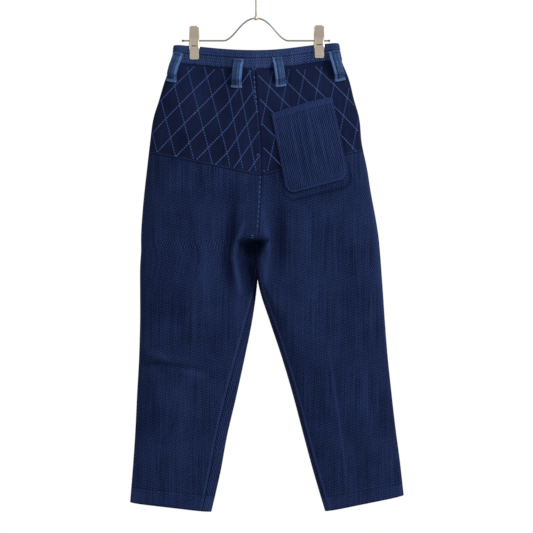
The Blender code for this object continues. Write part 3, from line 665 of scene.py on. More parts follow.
def seam_normals(grids: Sequence[Array]) -> list[Array]:
    """Outward normals of grids that meet at seams: the sum of the face normals round each place.

    Args:
        grids: The points of each grid, row by row.

    Returns:
        The unit normals of each grid.
    """
    points = np.concatenate([grid.reshape(-1, 3) for grid in grids])
    keys = np.round(points * 1000).astype(np.int64)
    _, index = np.unique(keys, axis=0, return_inverse=True)
    index = index.reshape(-1)
    total = np.zeros((index.max() + 1, 3))
    ends = np.cumsum([grid.shape[0] * grid.shape[1] for grid in grids])[:-1]
    for grid, ids in zip(grids, np.split(index, ends)):
        ids = ids.reshape(grid.shape[:2])
        face = np.cross(grid[1:, 1:] - grid[:-1, :-1], grid[1:, :-1] - grid[:-1, 1:])
        for corner in (ids[:-1, :-1], ids[1:, :-1], ids[:-1, 1:], ids[1:, 1:]):
            np.add.at(total, corner.reshape(-1), face.reshape(-1, 3))
    return [part.reshape(grid.shape) for part, grid in zip(np.split(unit(total)[index], ends), grids)]


def draw_in(grid: Array, amount: Array | float) -> Array:
    """Moves the border of a grid inwards along the cloth, by one length or one for each row.

    Args:
        grid: The points, row by row.
        amount: The length, in the grid's unit.

    Returns:
        The moved grid.
    """
    grid = grid.copy()
    rows = np.broadcast_to(np.asarray(amount, float), (len(grid),))[:, None]
    borders = (
        (np.s_[:, 0], np.s_[:, 1], rows),
        (np.s_[:, -1], np.s_[:, -2], rows),
        (np.s_[0], np.s_[1], rows[0]),
        (np.s_[-1], np.s_[-2], rows[-1]),
    )
    for edge, inner, length in borders:
        grid[edge] += unit(grid[inner] - grid[edge]) * length
    return grid


def grid_quads(ids: Ids, closed: bool = False) -> Ids:
    """The four-sided faces of a grid of vertex numbers, joined end to end along its rows if closed.

    Args:
        ids: The numbers, row by row.
        closed: Whether each row is a ring.

    Returns:
        The corners of each face.
    """
    if closed:
        ids = np.concatenate([ids, ids[:, :1]], axis=1)
    corners = (ids[:-1, :-1], ids[:-1, 1:], ids[1:, 1:], ids[1:, :-1])
    return np.stack([corner.reshape(-1) for corner in corners], axis=1)


def facing_out(points: Array, faces: Ids) -> Ids:
    """The faces of a closed mesh, turned round if they point in, by the sign of its volume.

    Args:
        points: The corners' places.
        faces: The corners of each face.

    Returns:
        The faces, which point out.
    """
    a, b, c = (points[faces[:, k]] for k in range(3))
    volume = np.einsum("ij,ij->", a, np.cross(b, c))
    if faces.shape[1] == 4:
        d = points[faces[:, 3]]
        volume += np.einsum("ij,ij->", a, np.cross(c, d))
    return faces if volume > 0 else faces[:, ::-1]


def into_scene(name: str, data: bpy.types.ID) -> Piece:
    """A new object of a mesh, light or camera, at the origin of the scene."""
    obj = bpy.data.objects.new(name, data)
    bpy.context.scene.collection.objects.link(obj)
    return obj


def make_object(
    name: str,
    points: Array,
    faces: Ids | list[list[int]],
    finish: Material,
    flat: Array | None = None,
    tone: Array | None = None,
    sharp: float = 50.0,
) -> Piece:
    """A mesh object at the origin, riding on the frame.

    Args:
        name: The piece's name.
        points: Its vertices in millimetres.
        faces: Its faces, as rows of vertex numbers. Those in an array are turned to point out.
        finish: Its material.
        flat: U and V of each vertex, for the map named cloth.
        tone: How much lighter each vertex is, from -1 to 1, by wear and by painted highlight and shade, for
            the attribute named tone.
        sharp: The angle in degrees past which an edge is sharp.

    Returns:
        The object.
    """
    if isinstance(faces, np.ndarray):
        faces = facing_out(points, faces).tolist()
    mesh = bpy.data.meshes.new(name)
    mesh.from_pydata((points * MM).tolist(), [], faces)
    if flat is not None:
        corner = np.zeros(len(mesh.loops), np.int32)
        mesh.loops.foreach_get("vertex_index", corner)
        mesh.uv_layers.new(name="cloth").data.foreach_set("uv", flat[corner].astype(np.float32).ravel())
    if tone is not None:
        made = mesh.attributes.new("tone", "FLOAT", "POINT")
        made.data.foreach_set("value", np.clip(tone, -1, 1).astype(np.float32).ravel())
    mesh.shade_smooth()
    mesh.set_sharp_from_angle(angle=math.radians(sharp))
    mesh.materials.append(finish)
    obj = into_scene(name, mesh)
    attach(obj, "root")
    LOG.info("%s: %d vertices, %d faces", name, len(points), len(faces))
    return obj


def wall_object(
    name: str,
    outer: Array,
    inner: Array,
    finish: Material,
    flat: Array,
    tone: Array | None = None,
    bulge: float = 0.8,
    rings: int = 3,
) -> Piece:
    """A closed piece of cloth between two grids, with its four edges rounded.

    The rim's rings lie on half ellipses: the middle of the wall, plus cos of the angle times half the wall,
    plus sin of the angle times the bulge, outwards along the cloth.

    Args:
        name: The piece's name.
        outer: The outer grid in millimetres.
        inner: The inner grid, of the same size.
        finish: Its material.
        flat: U and V of the grid's points.
        tone: How much lighter each point of the grid is, by wear and by painted highlight and shade.
        bulge: How far the edge stands out, in millimetres.
        rings: How many rings of points round the edge.

    Returns:
        The object.
    """
    rows, cols = outer.shape[:2]
    ids = np.arange(rows * cols).reshape(rows, cols)
    loop = np.concatenate([ids[0, :-1], ids[:-1, -1], ids[-1, :0:-1], ids[:0:-1, 0]])
    next_in = np.concatenate([ids[1, :-1], ids[:-1, -2], ids[-2, :0:-1], ids[:0:-1, 1]])
    near, far = outer.reshape(-1, 3), inner.reshape(-1, 3)
    out = near[loop] - near[next_in]
    corners = np.array([0, cols - 1, cols + rows - 2, 2 * cols + rows - 3])
    out[corners] += out[corners - 1]
    middle, half = (near[loop] + far[loop]) / 2, (near[loop] - far[loop]) / 2
    angle = (np.arange(1, rings + 1) / (rings + 1) * math.pi)[:, None, None]
    rim = middle + half * np.cos(angle) + unit(out) * bulge * np.sin(angle)
    points = np.concatenate([near, far, rim.reshape(-1, 3)])
    first = 2 * rows * cols
    ring_ids = first + np.arange(rings * len(loop)).reshape(rings, len(loop))
    loops = np.concatenate([loop[None], ring_ids, (loop + rows * cols)[None]])
    inside, edge = grid_quads(ids + rows * cols), grid_quads(loops, True)
    faces = np.concatenate([grid_quads(ids), inside[:, ::-1], edge[:, ::-1]])
    flat = flat.reshape(-1, 2)
    flat = np.concatenate([flat, flat, np.tile(flat[loop], (rings, 1))])
    if tone is not None:
        tone = tone.reshape(-1)
        tone = np.concatenate([tone, tone * 0, np.tile(tone[loop], rings)])
    return make_object(name, points, faces, finish, flat, tone)


def tube_object(
    name: str,
    path: Array,
    radius: Array | float,
    finish: Material,
    sides: int = 24,
    first: Array | None = None,
) -> Piece:
    """A round tube along a path, closed by a point at each end.

    A ring at each point lies square to the path; its two directions are the frame's Y, made square to the
    path, or the one given, and its cross product with the path's own.

    Args:
        name: The piece's name.
        path: Points of the centre line, in millimetres.
        radius: The radius, or that at each point.
        finish: Its material.
        sides: How many sides the tube has.
        first: A direction square to the path at each point.

    Returns:
        The object.
    """
    along = unit(np.gradient(path, axis=0))
    if first is None:
        first = unit(np.array([0.0, 1.0, 0.0]) - along * along[:, 1:2])
    second = np.cross(along, first)
    angle = np.arange(sides) / sides * 2 * math.pi
    ring = first[:, None] * np.cos(angle)[None, :, None] + second[:, None] * np.sin(angle)[None, :, None]
    points = (path[:, None] + ring * np.broadcast_to(radius, len(path))[:, None, None]).reshape(-1, 3)
    ids = np.arange(len(path) * sides).reshape(len(path), sides)
    caps = np.array([len(points), len(points) + 1])
    points = np.concatenate([points, path[:1], path[-1:]])
    ids = np.concatenate([np.full((1, sides), caps[0]), ids, np.full((1, sides), caps[1])])
    return closed_object(name, points, grid_quads(ids, True), finish)


def turned_object(
    name: str,
    profile: Sequence[tuple[float, float]],
    finish: Material,
    place: Array,
    turn: Array | None = None,
    sides: int = 48,
) -> Piece:
    """A piece turned about an axis: each point of the profile, a radius and a height, goes round it.

    Args:
        name: The piece's name.
        profile: Radii and heights in millimetres, from the top's middle to the foot's middle.
        finish: Its material.
        place: Where the axis starts, in millimetres.
        turn: The piece's three axes as columns; if they aren't given, they are the frame's.
        sides: How many sides it has.

    Returns:
        The object.
    """
    outline = np.array(profile, float)
    angle = np.arange(sides) / sides * 2 * math.pi
    x = outline[:, :1] * np.cos(angle)
    y = outline[:, :1] * np.sin(angle)
    z = np.broadcast_to(outline[:, 1:], x.shape)
    points = np.stack([x, y, z], axis=-1).reshape(-1, 3)
    ids = np.arange(len(points)).reshape(-1, sides)
    ids[0], ids[-1] = ids[0, 0], ids[-1, 0]
    turn = np.eye(3) if turn is None else turn
    return closed_object(name, points @ turn.T + place, grid_quads(ids, True), finish)


def closed_object(name: str, points: Array, faces: Ids, finish: Material) -> Piece:
    """An object from four-cornered faces, of which some have two corners in one; see make_object.

    Args:
        name: The piece's name.
        points: Places in millimetres.
        faces: The corners of each face.
        finish: Its material.

    Returns:
        The object.
    """
    faces = facing_out(points, faces)
    used = np.unique(faces)
    number = np.zeros(len(points), np.int64)
    number[used] = np.arange(len(used))
    single = [list(dict.fromkeys(face)) for face in number[faces].tolist()]
    return make_object(name, points[used], single, finish)


def linear(colour: str) -> tuple[float, float, float, float]:
    """An sRGB hex colour as linear light, with full alpha.

    Args:
        colour: The colour, such as #1A2240.

    Returns:
        Red, green, blue and alpha.
    """
    parts = (int(colour[k : k + 2], 16) / 255 for k in (1, 3, 5))
    red, green, blue = (c / 12.92 if c <= 0.04045 else ((c + 0.055) / 1.055) ** 2.4 for c in parts)
    return red, green, blue, 1.0


def feed(tree: bpy.types.NodeTree, node: bpy.types.Node, inputs: Mapping[str | int, object]) -> None:
    """Links or fills a node's inputs, by name or number: a socket is linked, and another value is set.

    Args:
        tree: The node tree.
        node: The node.
        inputs: What each input is given.
    """
    for name, value in inputs.items():
        if isinstance(value, bpy.types.NodeSocket):
            tree.links.new(value, node.inputs[name])
        else:
            node.inputs[name].default_value = value


def add_node(
    tree: bpy.types.NodeTree,
    kind: str,
    inputs: Mapping[str | int, object] | None = None,
    **settings: object,
) -> bpy.types.Node:
    """Adds one node with its settings, and links or fills its inputs.

    Args:
        tree: The material's node tree.
        kind: The node's type, without ShaderNode.
        inputs: For each input's name or number, a socket to link from or a value.
        **settings: The node's own settings.

    Returns:
        The node.
    """
    node = tree.nodes.new("ShaderNode" + kind)
    for name, value in settings.items():
        setattr(node, name, value)
    feed(tree, node, inputs or {})
    return node


def new_material(name: str) -> tuple[Material, bpy.types.NodeTree, bpy.types.Node]:
    """A material with its node tree and its Principled shader."""
    material = bpy.data.materials.new(name)
    material.use_nodes = True
    return material, material.node_tree, material.node_tree.nodes["Principled BSDF"]


@dataclass(frozen=True)
class IndigoCotton:
    """Sashiko cotton, woven in a coarse twill from slubbed yarn and dyed in indigo.

    It is matt with a soft nap, so it has a high roughness, a low specular and a faint blue sheen. The dye
    sits unevenly: the raised yarns are lighter, slubs draw streaks along the grain, and edges are worn; the
    tone attribute adds this wear along with painted highlight and shade. The twill's rows are about 2 mm
    apart in the real cloth; they are drawn twice as coarse, so that they show.
    """

    name: str
    deep: str
    bright: str
    twill_pitch: float = 4.3
    twill_angle: float = 50.0
    twill_share: float = 0.40
    grain_share: float = 0.26
    streak_share: float = 1.05
    cloud_share: float = 0.35
    balance: float = 0.40
    bump: float = 0.35

    def make(self) -> Material:
        """The material, whose pattern follows the flat cloth through the map named cloth.

        Returns:
            The material.
        """
        material, tree, shader = new_material(self.name)
        angle = math.radians(self.twill_angle)
        pitch, float_pitch = self.twill_pitch, self.twill_pitch * 1.15
        across = (-math.sin(angle) / pitch, math.cos(angle) / pitch, 0)
        along = (math.cos(angle) / float_pitch, math.sin(angle) / float_pitch, 0)
        uv = add_node(tree, "UVMap", uv_map="cloth").outputs["UV"]
        flat = add_node(tree, "VectorMath", {0: uv, "Scale": 1 / MM}, operation="SCALE").outputs["Vector"]
        # Twill rows, a sine across them with a little wander
        wander = add_node(tree, "TexNoise", {"Vector": flat, "Scale": 0.11, "Detail": 1.0}).outputs["Fac"]
        row = add_node(tree, "VectorMath", {0: flat, 1: across}, operation="DOT_PRODUCT").outputs["Value"]
        row = add_node(tree, "Math", {0: wander, 1: 0.9, 2: row}, operation="MULTIPLY_ADD").outputs[0]
        rows = add_node(tree, "Math", {0: row, 1: 2 * math.pi}, operation="MULTIPLY").outputs[0]
        rows = add_node(tree, "Math", {0: rows}, operation="SINE").outputs[0]
        # The floats of single yarns along the rows, which break them into grains
        grain = add_node(tree, "VectorMath", {0: flat, 1: along}, operation="DOT_PRODUCT").outputs["Value"]
        grain = add_node(tree, "Math", {0: row, 1: 0.5, 2: grain}, operation="MULTIPLY_ADD").outputs[0]
        grains = add_node(tree, "Math", {0: grain, 1: 2 * math.pi}, operation="MULTIPLY").outputs[0]
        grains = add_node(tree, "Math", {0: grains}, operation="SINE").outputs[0]
        # Slubs: noise drawn out ninety times along the grain
        long_way = add_node(tree, "Mapping", {"Vector": flat, "Scale": (0.55, 0.006, 1.0)}).outputs["Vector"]
        fine = {"Vector": long_way, "Scale": 1.0, "Detail": 3.0, "Roughness": 0.7}
        streak = add_node(tree, "TexNoise", fine)
        cloud = add_node(tree, "TexNoise", {"Vector": flat, "Scale": 0.016, "Detail": 3.0, "Roughness": 0.6})
        # The tone attribute: wear, and painted highlight and shade
        tone = add_node(tree, "Attribute", attribute_name="tone").outputs["Fac"]
        # Everything is added up round the balance of deep and bright
        terms = {0: rows, 1: self.twill_share, 2: self.balance}
        total = add_node(tree, "Math", terms, operation="MULTIPLY_ADD")
        parts = (
            (grains, self.grain_share, 0.0),
            (streak.outputs["Fac"], 2 * self.streak_share, -self.streak_share),
            (cloud.outputs["Fac"], 2 * self.cloud_share, -self.cloud_share),
            (tone, 0.55, 0.0),
        )
        for socket, share, shift in parts:
            part = add_node(tree, "Math", {0: socket, 1: share, 2: shift}, operation="MULTIPLY_ADD")
            total = add_node(tree, "Math", {0: total.outputs[0], 1: part.outputs[0]}, operation="ADD")
        # The Mix node has its colour sockets after others of the same names
        shades = {0: total.outputs[0], 6: linear(self.deep), 7: linear(self.bright)}
        colour = add_node(tree, "Mix", shades, data_type="RGBA")
        nap = add_node(tree, "TexNoise", {"Vector": flat, "Scale": 0.9, "Detail": 2.0}).outputs["Fac"]
        height = add_node(tree, "Math", {0: rows, 1: 0.5, 2: nap}, operation="MULTIPLY_ADD").outputs[0]
        height = add_node(tree, "Math", {0: grains, 1: 0.3, 2: height}, operation="MULTIPLY_ADD").outputs[0]
        bump = add_node(tree, "Bump", {"Height": height, "Strength": self.bump, "Distance": 0.0006})
        looks = {"Base Color": colour.outputs[2], "Normal": bump.outputs["Normal"], "Roughness": 0.88}
        feed(tree, shader, looks)
        feed(tree, shader, {"Specular IOR Level": 0.08, "Sheen Weight": 0.03, "Sheen Roughness": 0.5})
        feed(tree, shader, {"Sheen Tint": linear("#7F93C8")})
        return material


@dataclass(frozen=True)
class CottonThread:
    """Plied cotton sewing thread, softer and lighter than the cloth, dyed unevenly along its length."""

    name: str
    deep: str
    bright: str

    def make(self) -> Material:
        """The material, whose shade drifts over some centimetres and from stitch to stitch.

        Returns:
            The material.
        """
        material, tree, shader = new_material(self.name)
        place = add_node(tree, "TexCoord").outputs["Object"]
        drift = add_node(tree, "TexNoise", {"Vector": place, "Scale": 38.0, "Detail": 3.0, "Roughness": 0.8})
        shades = {0: drift.outputs["Fac"], 6: linear(self.deep), 7: linear(self.bright)}
        colour = add_node(tree, "Mix", shades, data_type="RGBA")
        twist = add_node(tree, "TexNoise", {"Vector": place, "Scale": 1400.0}).outputs["Fac"]
        bump = add_node(tree, "Bump", {"Height": twist, "Strength": 0.3, "Distance": 0.0002})
        feed(tree, shader, {"Base Color": colour.outputs[2], "Normal": bump.outputs["Normal"]})
        feed(tree, shader, {"Roughness": 0.75, "Specular IOR Level": 0.3})
        return material


@dataclass(frozen=True)
class SatinNickel:
    """Nickel plate on steel, tumbled to a warm satin: a metal with soft, slightly blotched reflections."""

    name: str
    colour: str
    roughness: float

    def make(self) -> Material:
        """The material, with fine rubbing marks in its roughness and height.

        Returns:
            The material.
        """
        material, tree, shader = new_material(self.name)
        place = add_node(tree, "TexCoord").outputs["Object"]
        blotch = add_node(tree, "TexNoise", {"Vector": place, "Scale": 160.0, "Detail": 4.0}).outputs["Fac"]
        limits = {"To Min": self.roughness - 0.07, "To Max": self.roughness + 0.1}
        rough = add_node(tree, "MapRange", {"Value": blotch, **limits})
        rub = add_node(tree, "Mapping", {"Vector": place, "Scale": (1.0, 1.0, 0.08)}).outputs["Vector"]
        marks = add_node(tree, "TexNoise", {"Vector": rub, "Scale": 2600.0, "Detail": 2.0}).outputs["Fac"]
        bump = add_node(tree, "Bump", {"Height": marks, "Strength": 0.12, "Distance": 0.0002})
        feed(tree, shader, {"Base Color": linear(self.colour), "Metallic": 1.0})
        feed(tree, shader, {"Roughness": rough.outputs["Result"], "Normal": bump.outputs["Normal"]})
        return material


@dataclass(frozen=True)
class HornButton:
    """Urea resin pressed and polished to look like dark horn: hard, smooth and faintly cloudy."""

    name: str
    deep: str
    bright: str

    def make(self) -> Material:
        """The material, clouded over a few millimetres.

        Returns:
            The material.
        """
        material, tree, shader = new_material(self.name)
        place = add_node(tree, "TexCoord").outputs["Object"]
        cloudy = {"Vector": place, "Scale": 130.0, "Detail": 3.0, "Distortion": 1.5}
        cloud = add_node(tree, "TexNoise", cloudy)
        shades = {0: cloud.outputs["Fac"], 6: linear(self.deep), 7: linear(self.bright)}
        colour = add_node(tree, "Mix", shades, data_type="RGBA")
        feed(tree, shader, {"Base Color": colour.outputs[2], "Roughness": 0.32})
        feed(tree, shader, {"Coat Weight": 0.3, "Coat Roughness": 0.2})
        return material


@dataclass(frozen=True)
class Finishes:
    """Every finish of the part, made once."""

    leg: Material = field(default_factory=IndigoCotton("indigo_sashiko_twill", "#040F2B", "#293966").make)
    yoke: Material = field(
        default_factory=IndigoCotton(
            "indigo_yoke_cloth", "#050A21", "#1E2A52", twill_share=0.10, grain_share=0.04, streak_share=0.45
        ).make
    )
    pocket: Material = field(
        default_factory=IndigoCotton(
            "indigo_pocket_twill", "#08112D", "#2B3C6B", twill_angle=58, grain_share=0.14, streak_share=1.2
        ).make
    )
    band: Material = field(
        default_factory=IndigoCotton("indigo_band_twill", "#0B1838", "#3E5284", twill_angle=-42).make
    )
    loop: Material = field(
        default_factory=IndigoCotton(
            "indigo_loop_twill", "#0A1736", "#5A7AB2", twill_pitch=2.8, twill_share=0.3, balance=0.26
        ).make
    )
    sashiko: Material = field(default_factory=CottonThread("sashiko_thread", "#22336A", "#4A68A2").make)
    faint: Material = field(default_factory=CottonThread("dyed_sashiko_thread", "#1B2C5C", "#38548E").make)
    sewing: Material = field(default_factory=CottonThread("sewing_thread", "#26345C", "#4A6292").make)
    nickel: Material = field(default_factory=SatinNickel("satin_nickel_plate", "#E8DAC6", 0.30).make)
    wire: Material = field(default_factory=SatinNickel("plated_wire", "#A89E92", 0.34).make)
    stop: Material = field(default_factory=SatinNickel("dark_nickel_stop", "#5A534A", 0.45).make)
    horn: Material = field(default_factory=HornButton("urea_horn", "#0E0D12", "#2B2A33").make)


def add_stitches(
    name: str,
    start: Array,
    end: Array,
    normal: Array,
    width: float,
    height: float,
    finish: Material,
) -> Piece:
    """One mesh of many stitches, each a small grain of thread with pointed ends.

    A grain has two rings of four corners, at about a fifth and four fifths of its length, and a point at
    each end that dips into the cloth. Its middle stands out from the cloth by its height.

    Args:
        name: The piece's name.
        start: Where each stitch comes out of the cloth, in millimetres.
        end: Where each goes back in.
        normal: The cloth's normal at each.
        width: The thread's width.
        height: How far it stands out.
        finish: Its material.

    Returns:
        The object.
    """
    run = end - start
    aside = unit(np.cross(normal, unit(run)))
    # Rows of a grain: share of its length, to the side, and up, with the last two in widths and heights
    ring = ((0.5, 0.1), (0, 0.85), (-0.5, 0.1), (0, -0.5))
    rings = [(along, a, u) for along in (0.22, 0.78) for a, u in ring]
    grain = np.array([(0.0, 0.0, -0.5), *rings, (1.0, 0.0, -0.5)])
    points = (
        start[:, None]
        + run[:, None] * grain[None, :, :1]
        + aside[:, None] * grain[None, :, 1:2] * width
        + normal[:, None] * grain[None, :, 2:3] * height
    )
    triangles = []
    for k in range(4):
        n = (k + 1) % 4
        triangles += [(0, 1 + n, 1 + k), (1 + k, 1 + n, 5 + n), (1 + k, 5 + n, 5 + k), (9, 5 + k, 5 + n)]
    faces = np.array(triangles)[None] + 10 * np.arange(len(start))[:, None, None]
    return make_object(name, points.reshape(-1, 3), faces.reshape(-1, 3), finish, sharp=180)


def stitch_line(
    path: Array | Sequence[tuple[float, float]], stitch: float, gap: float, face: Face, lift: float
) -> tuple[Array, Array, Array]:
    """Starts, ends and normals of a row of stitches along a line on the cloth.

    Args:
        path: Points of the line, as x and drop.
        stitch: The length of a stitch.
        gap: The length between two.
        face: The side of the trousers.
        lift: How far above the cloth the row lies.

    Returns:
        The starts, the ends and the normals.
    """
    knots = np.array(path, float)
    run = run_along(knots)
    first = np.arange(gap / 2, run[-1] - stitch, stitch + gap)
    walk = np.stack([first, first + stitch])
    x, drop = (np.interp(walk, run, knots[:, k]) for k in (0, 1))
    points, normals = CLOTH.place(x, drop, face)
    points = points + normals * lift
    return points[0], points[1], normals.mean(axis=0)


def sewn_row(points: Array, normals: Array) -> tuple[Array, Array, Array]:
    """Starts, ends and normals of machine stitches, one from each point of a row towards the next."""
    return points[:-1], points[:-1] + (points[1:] - points[:-1]) * SEWING_SHARE, normals[:-1]


def sewn_rows(
    name: str,
    rows: Sequence[tuple[Array, Array, Array]],
    finish: Material,
    width: float = SEWING_WIDTH,
    height: float = SEWING_HEIGHT,
) -> Piece:
    """One piece of the stitches of several rows, each with its starts, ends and normals; see add_stitches."""
    start, end, normal = (np.concatenate(parts) for parts in zip(*rows))
    return add_stitches(name, start, end, normal, width, height, finish)


@dataclass(frozen=True)
class Panels:
    """The yokes and the legs' panels, back and front, each a wall from the side seam to the inner seams."""

    wall: float = 2.0
    fork_wall: float = 1.3
    hem_wall: float = 3.6
    edge_bulge: float = 0.7
    row_step: float = 3.3
    columns: int = 100
    column_step: float = 2.6
    # The share of the way across each leg at which the grain hangs plumb
    grain: tuple[float, float] = (0.75, 0.15)

    def levels(self) -> Array:
        """The levels of the rows, about one row step apart, and closer at the hem's edge.

        Returns:
            The levels, from the waist down.
        """
        drops = np.array([row.side_drop for row in RIGHT_LEG.rows])
        parts = []
        for row in range(WAIST_SEAM, HEM):
            count = max(int((drops[row + 1] - drops[row]) / self.row_step), 10)
            parts.append(row + np.arange(count) / count)
        levels = np.concatenate([*parts, [HEM - 0.012, HEM]])
        return np.union1d(levels[np.abs(levels - YOKE_SEAM) > 0.03], [YOKE_SEAM])

    def slanted(self, levels: Array, turn: Array) -> Array:
        """The level of each point: the row at the yoke's seam slants, and those near it slant less."""
        slant = np.clip(1 - np.abs(levels[:, None] - YOKE_SEAM) / YOKE_REACH, 0, 1)
        return levels[:, None] + slant * (YOKE_CENTRE - YOKE_SIDE) * (np.abs(turn) - 0.5)

    def turns(self, side: Side, face: Face, levels: Array) -> Array:
        """The turn of each point of one side of a leg, its columns evenly spaced along the cloth.

        The inside leg seam lies on the back, so the front panel's walk goes past the inner edge at 1 and on
        to that seam: a walk w over 1 is the turn 2 - w.

        Args:
            side: The leg.
            face: The panel's side of the trousers.
            levels: The levels of its rows.

        Returns:
            The turns, in rows and columns.
        """
        rows = CLOTH.table(side)
        shift = np.clip(rows.at("seam_shift", levels), 0, None)
        width = np.abs(rows.at("inner_x", levels) - rows.at("side_x", levels))
        seam = 1 - np.clip(shift / width, 0, 1)
        ease = (1 - np.cos(np.linspace(0, math.pi, 481))) / 2
        if face is Face.BACK:
            walk = ease[None, :] * seam[:, None]
        else:
            round_edge = np.linspace(0, 1, 61)[1:][None, :] * (1 - seam)[:, None]
            walk = np.concatenate([np.broadcast_to(ease, (len(levels), len(ease))), 1 + round_edge], axis=1)
        plain = CLOTH.points(side, levels[:, None], self.turn(walk, face), fine=False)
        share = np.linspace(0, 1, self.columns)
        even = spread_evenly(plain, walk, 0.8 * share + 0.2 * (1 - np.cos(share * math.pi)) / 2)
        even[:, 0], even[:, -1] = walk[:, 0], walk[:, -1]
        return self.turn(even, face)

    def turn(self, walk: Array, face: Face) -> Array:
        """The turn at a walk across a panel."""
        return walk if face is Face.BACK else np.where(walk <= 1, -walk, 2 - walk)

    def tone(self, grid: Array, levels: Array, turn: Array, side: Side, face: Face) -> Array:
        """How light each point is: painted highlight on ridges, painted shade in folds, and wear on hems and
        seam edges.

        The painted shade is deepest in the hollow under the fork, which is marked by a bell with a sharp
        upper edge.

        Args:
            grid: The points of the panel, in millimetres.
            levels: The levels of its rows.
            turn: The turn of each point.
            side: The leg.
            face: The panel's side of the trousers.

        Returns:
            The tone of each point.
        """
        x, drop = grid[..., 0], -grid[..., 2]
        # Worn starts as painted highlight on the folds' ridges and painted shade in their troughs, from the
        # relief
        worn = CLOTH.relief(x, drop, face) / 9
        # The turned hem: lighter by wear, with painted highlight at its corners, and dark lines at its row
        # and its edge
        hem = smooth(levels, HEM_ROW + 0.02, HEM_ROW + 0.06)[:, None]
        lines = 0.7 * bell(levels, HEM_ROW, 0.02) + 1.3 * bell(levels, HEM, 0.025)
        worn = worn + hem * (0.12 + 0.8 * np.abs(2 * np.abs(turn) - 1) ** 3) - lines[:, None]
        # The inside leg seam: its worn ridge, the groove beside it and the strip up to the edge
        rows = CLOTH.table(side)
        shift = np.clip(rows.at("seam_shift", levels), 0, None)[:, None]
        off = np.abs(rows.at("inner_x", levels)[:, None] - x) - shift
        line = 0.75 * bell(off, 1.6, 1.7) - bell(off, -2.4, 1.4) + 0.16 * smooth(off, -4, -7)
        worn = worn + line * (turn > 0) * smooth(levels, FORK + 0.9, FORK + 2.0)[:, None]
        edge = np.minimum(np.arange(self.columns), np.arange(self.columns)[::-1]) * self.column_step
        worn = worn + 0.36 * smooth(edge, 7, 1)[None, :]
        if face is Face.FRONT:
            return worn
        # Lines of tone: painted highlight and shade round the fork, slubs and wear down the legs, and painted
        # shadow round the pocket
        worn = worn - sum(crease.sink(x, drop) for crease in BACK_WEAR_AND_SHADE)
        # The centre seam: a worn edge, the groove beside it and the fine pleats that its sewing draws in
        off = x - CLOTH.centre_x(drop)
        seam = 0.5 * bell(off, -1.8, 1.7) - 0.9 * bell(off, 1.2, 1.2)
        pleats = smooth(off, 2, 4) * smooth(off, 26, 10) * smooth(drop, 450, 520)
        worn = worn + (seam + pleats * (0.40 + 0.34 * np.sin(off * 1.9))) * smooth(drop, 578, 572)
        # Painted shadow in the hollow under the fork
        painted_fork_shadow = np.exp(-(((x + 5) / 17) ** 4) - ((drop - 590) / 15) ** 2) * smooth(drop, 573, 579)
        return worn - 2.0 * painted_fork_shadow

    def build(self, finishes: Finishes) -> dict[tuple[Side, Face, str], Piece]:
        """Builds the yokes and the legs' panels.

        Args:
            finishes: The part's finishes.

        Returns:
            The pieces by leg, side and kind, which is yoke or panel.
        """
        levels = self.levels()
        seam = int(np.searchsorted(levels, YOKE_SEAM))
        cuts = {"yoke": slice(None, seam + 1), "panel": slice(seam, None)}
        keys = [(side, face, kind) for side in Side for face in Face for kind in cuts]
        grids, turns = [], []
        for side, face, kind in keys:
            turn = self.turns(side, face, levels)
            level = self.slanted(levels, turn)
            rows = cuts[kind]
            turns.append(turn[rows])
            grid = CLOTH.points(side, level[rows], turn[rows], on_yoke=kind == "yoke")
            grids.append(grid[:, ::-1] if (side is Side.LEFT) == (face is Face.BACK) else grid)
        normals = seam_normals(grids)
        thickness = self.wall + (self.hem_wall - self.wall) * smooth(levels, HEM_ROW - 0.01, HEM_ROW + 0.03)
        # Sewn edges touch, so each is drawn in by a little less than it bulges
        gap = self.edge_bulge - 0.3
        panels = {}
        for (side, face, kind), grid, normal, turn in zip(keys, grids, normals, turns):
            rows = levels[cuts[kind]]
            flipped = (side is Side.LEFT) == (face is Face.BACK)
            from_fork = (grid[..., 0] - LEFT_LEG.rows[FORK].inner_x) / 12
            thin = np.exp(-(((rows[:, None] - FORK) / 0.7) ** 2) - from_fork**2)
            at_fork = (np.abs(rows[:, None] - FORK) < 1e-6) & (np.abs(from_fork) < 0.001)
            normal[at_fork] = (0, 0, -1)
            wall = thickness[cuts[kind]][:, None] - (self.wall - self.fork_wall) * thin
            inner = grid - normal * wall[..., None]
            name = f"{face.word}_{kind}_{side.word}"
            column = round(self.grain[0 if side is Side.LEFT else 1] * (self.columns - 1))
            column = self.columns - 1 - column if flipped else column
            rightward = 1.0 if grid[5, -1, 0] > grid[5, 0, 0] else -1.0
            panel = wall_object(
                f"{name}_cloth",
                draw_in(grid, gap),
                draw_in(inner, gap),
                finishes.yoke if kind == "yoke" else finishes.leg,
                flat_places(grid, column, rightward),
                self.tone(grid, rows, turn[:, ::-1] if flipped else turn, side, face),
                self.edge_bulge,
            )
            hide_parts(name)
            panels[side, face, kind] = panel
        return panels


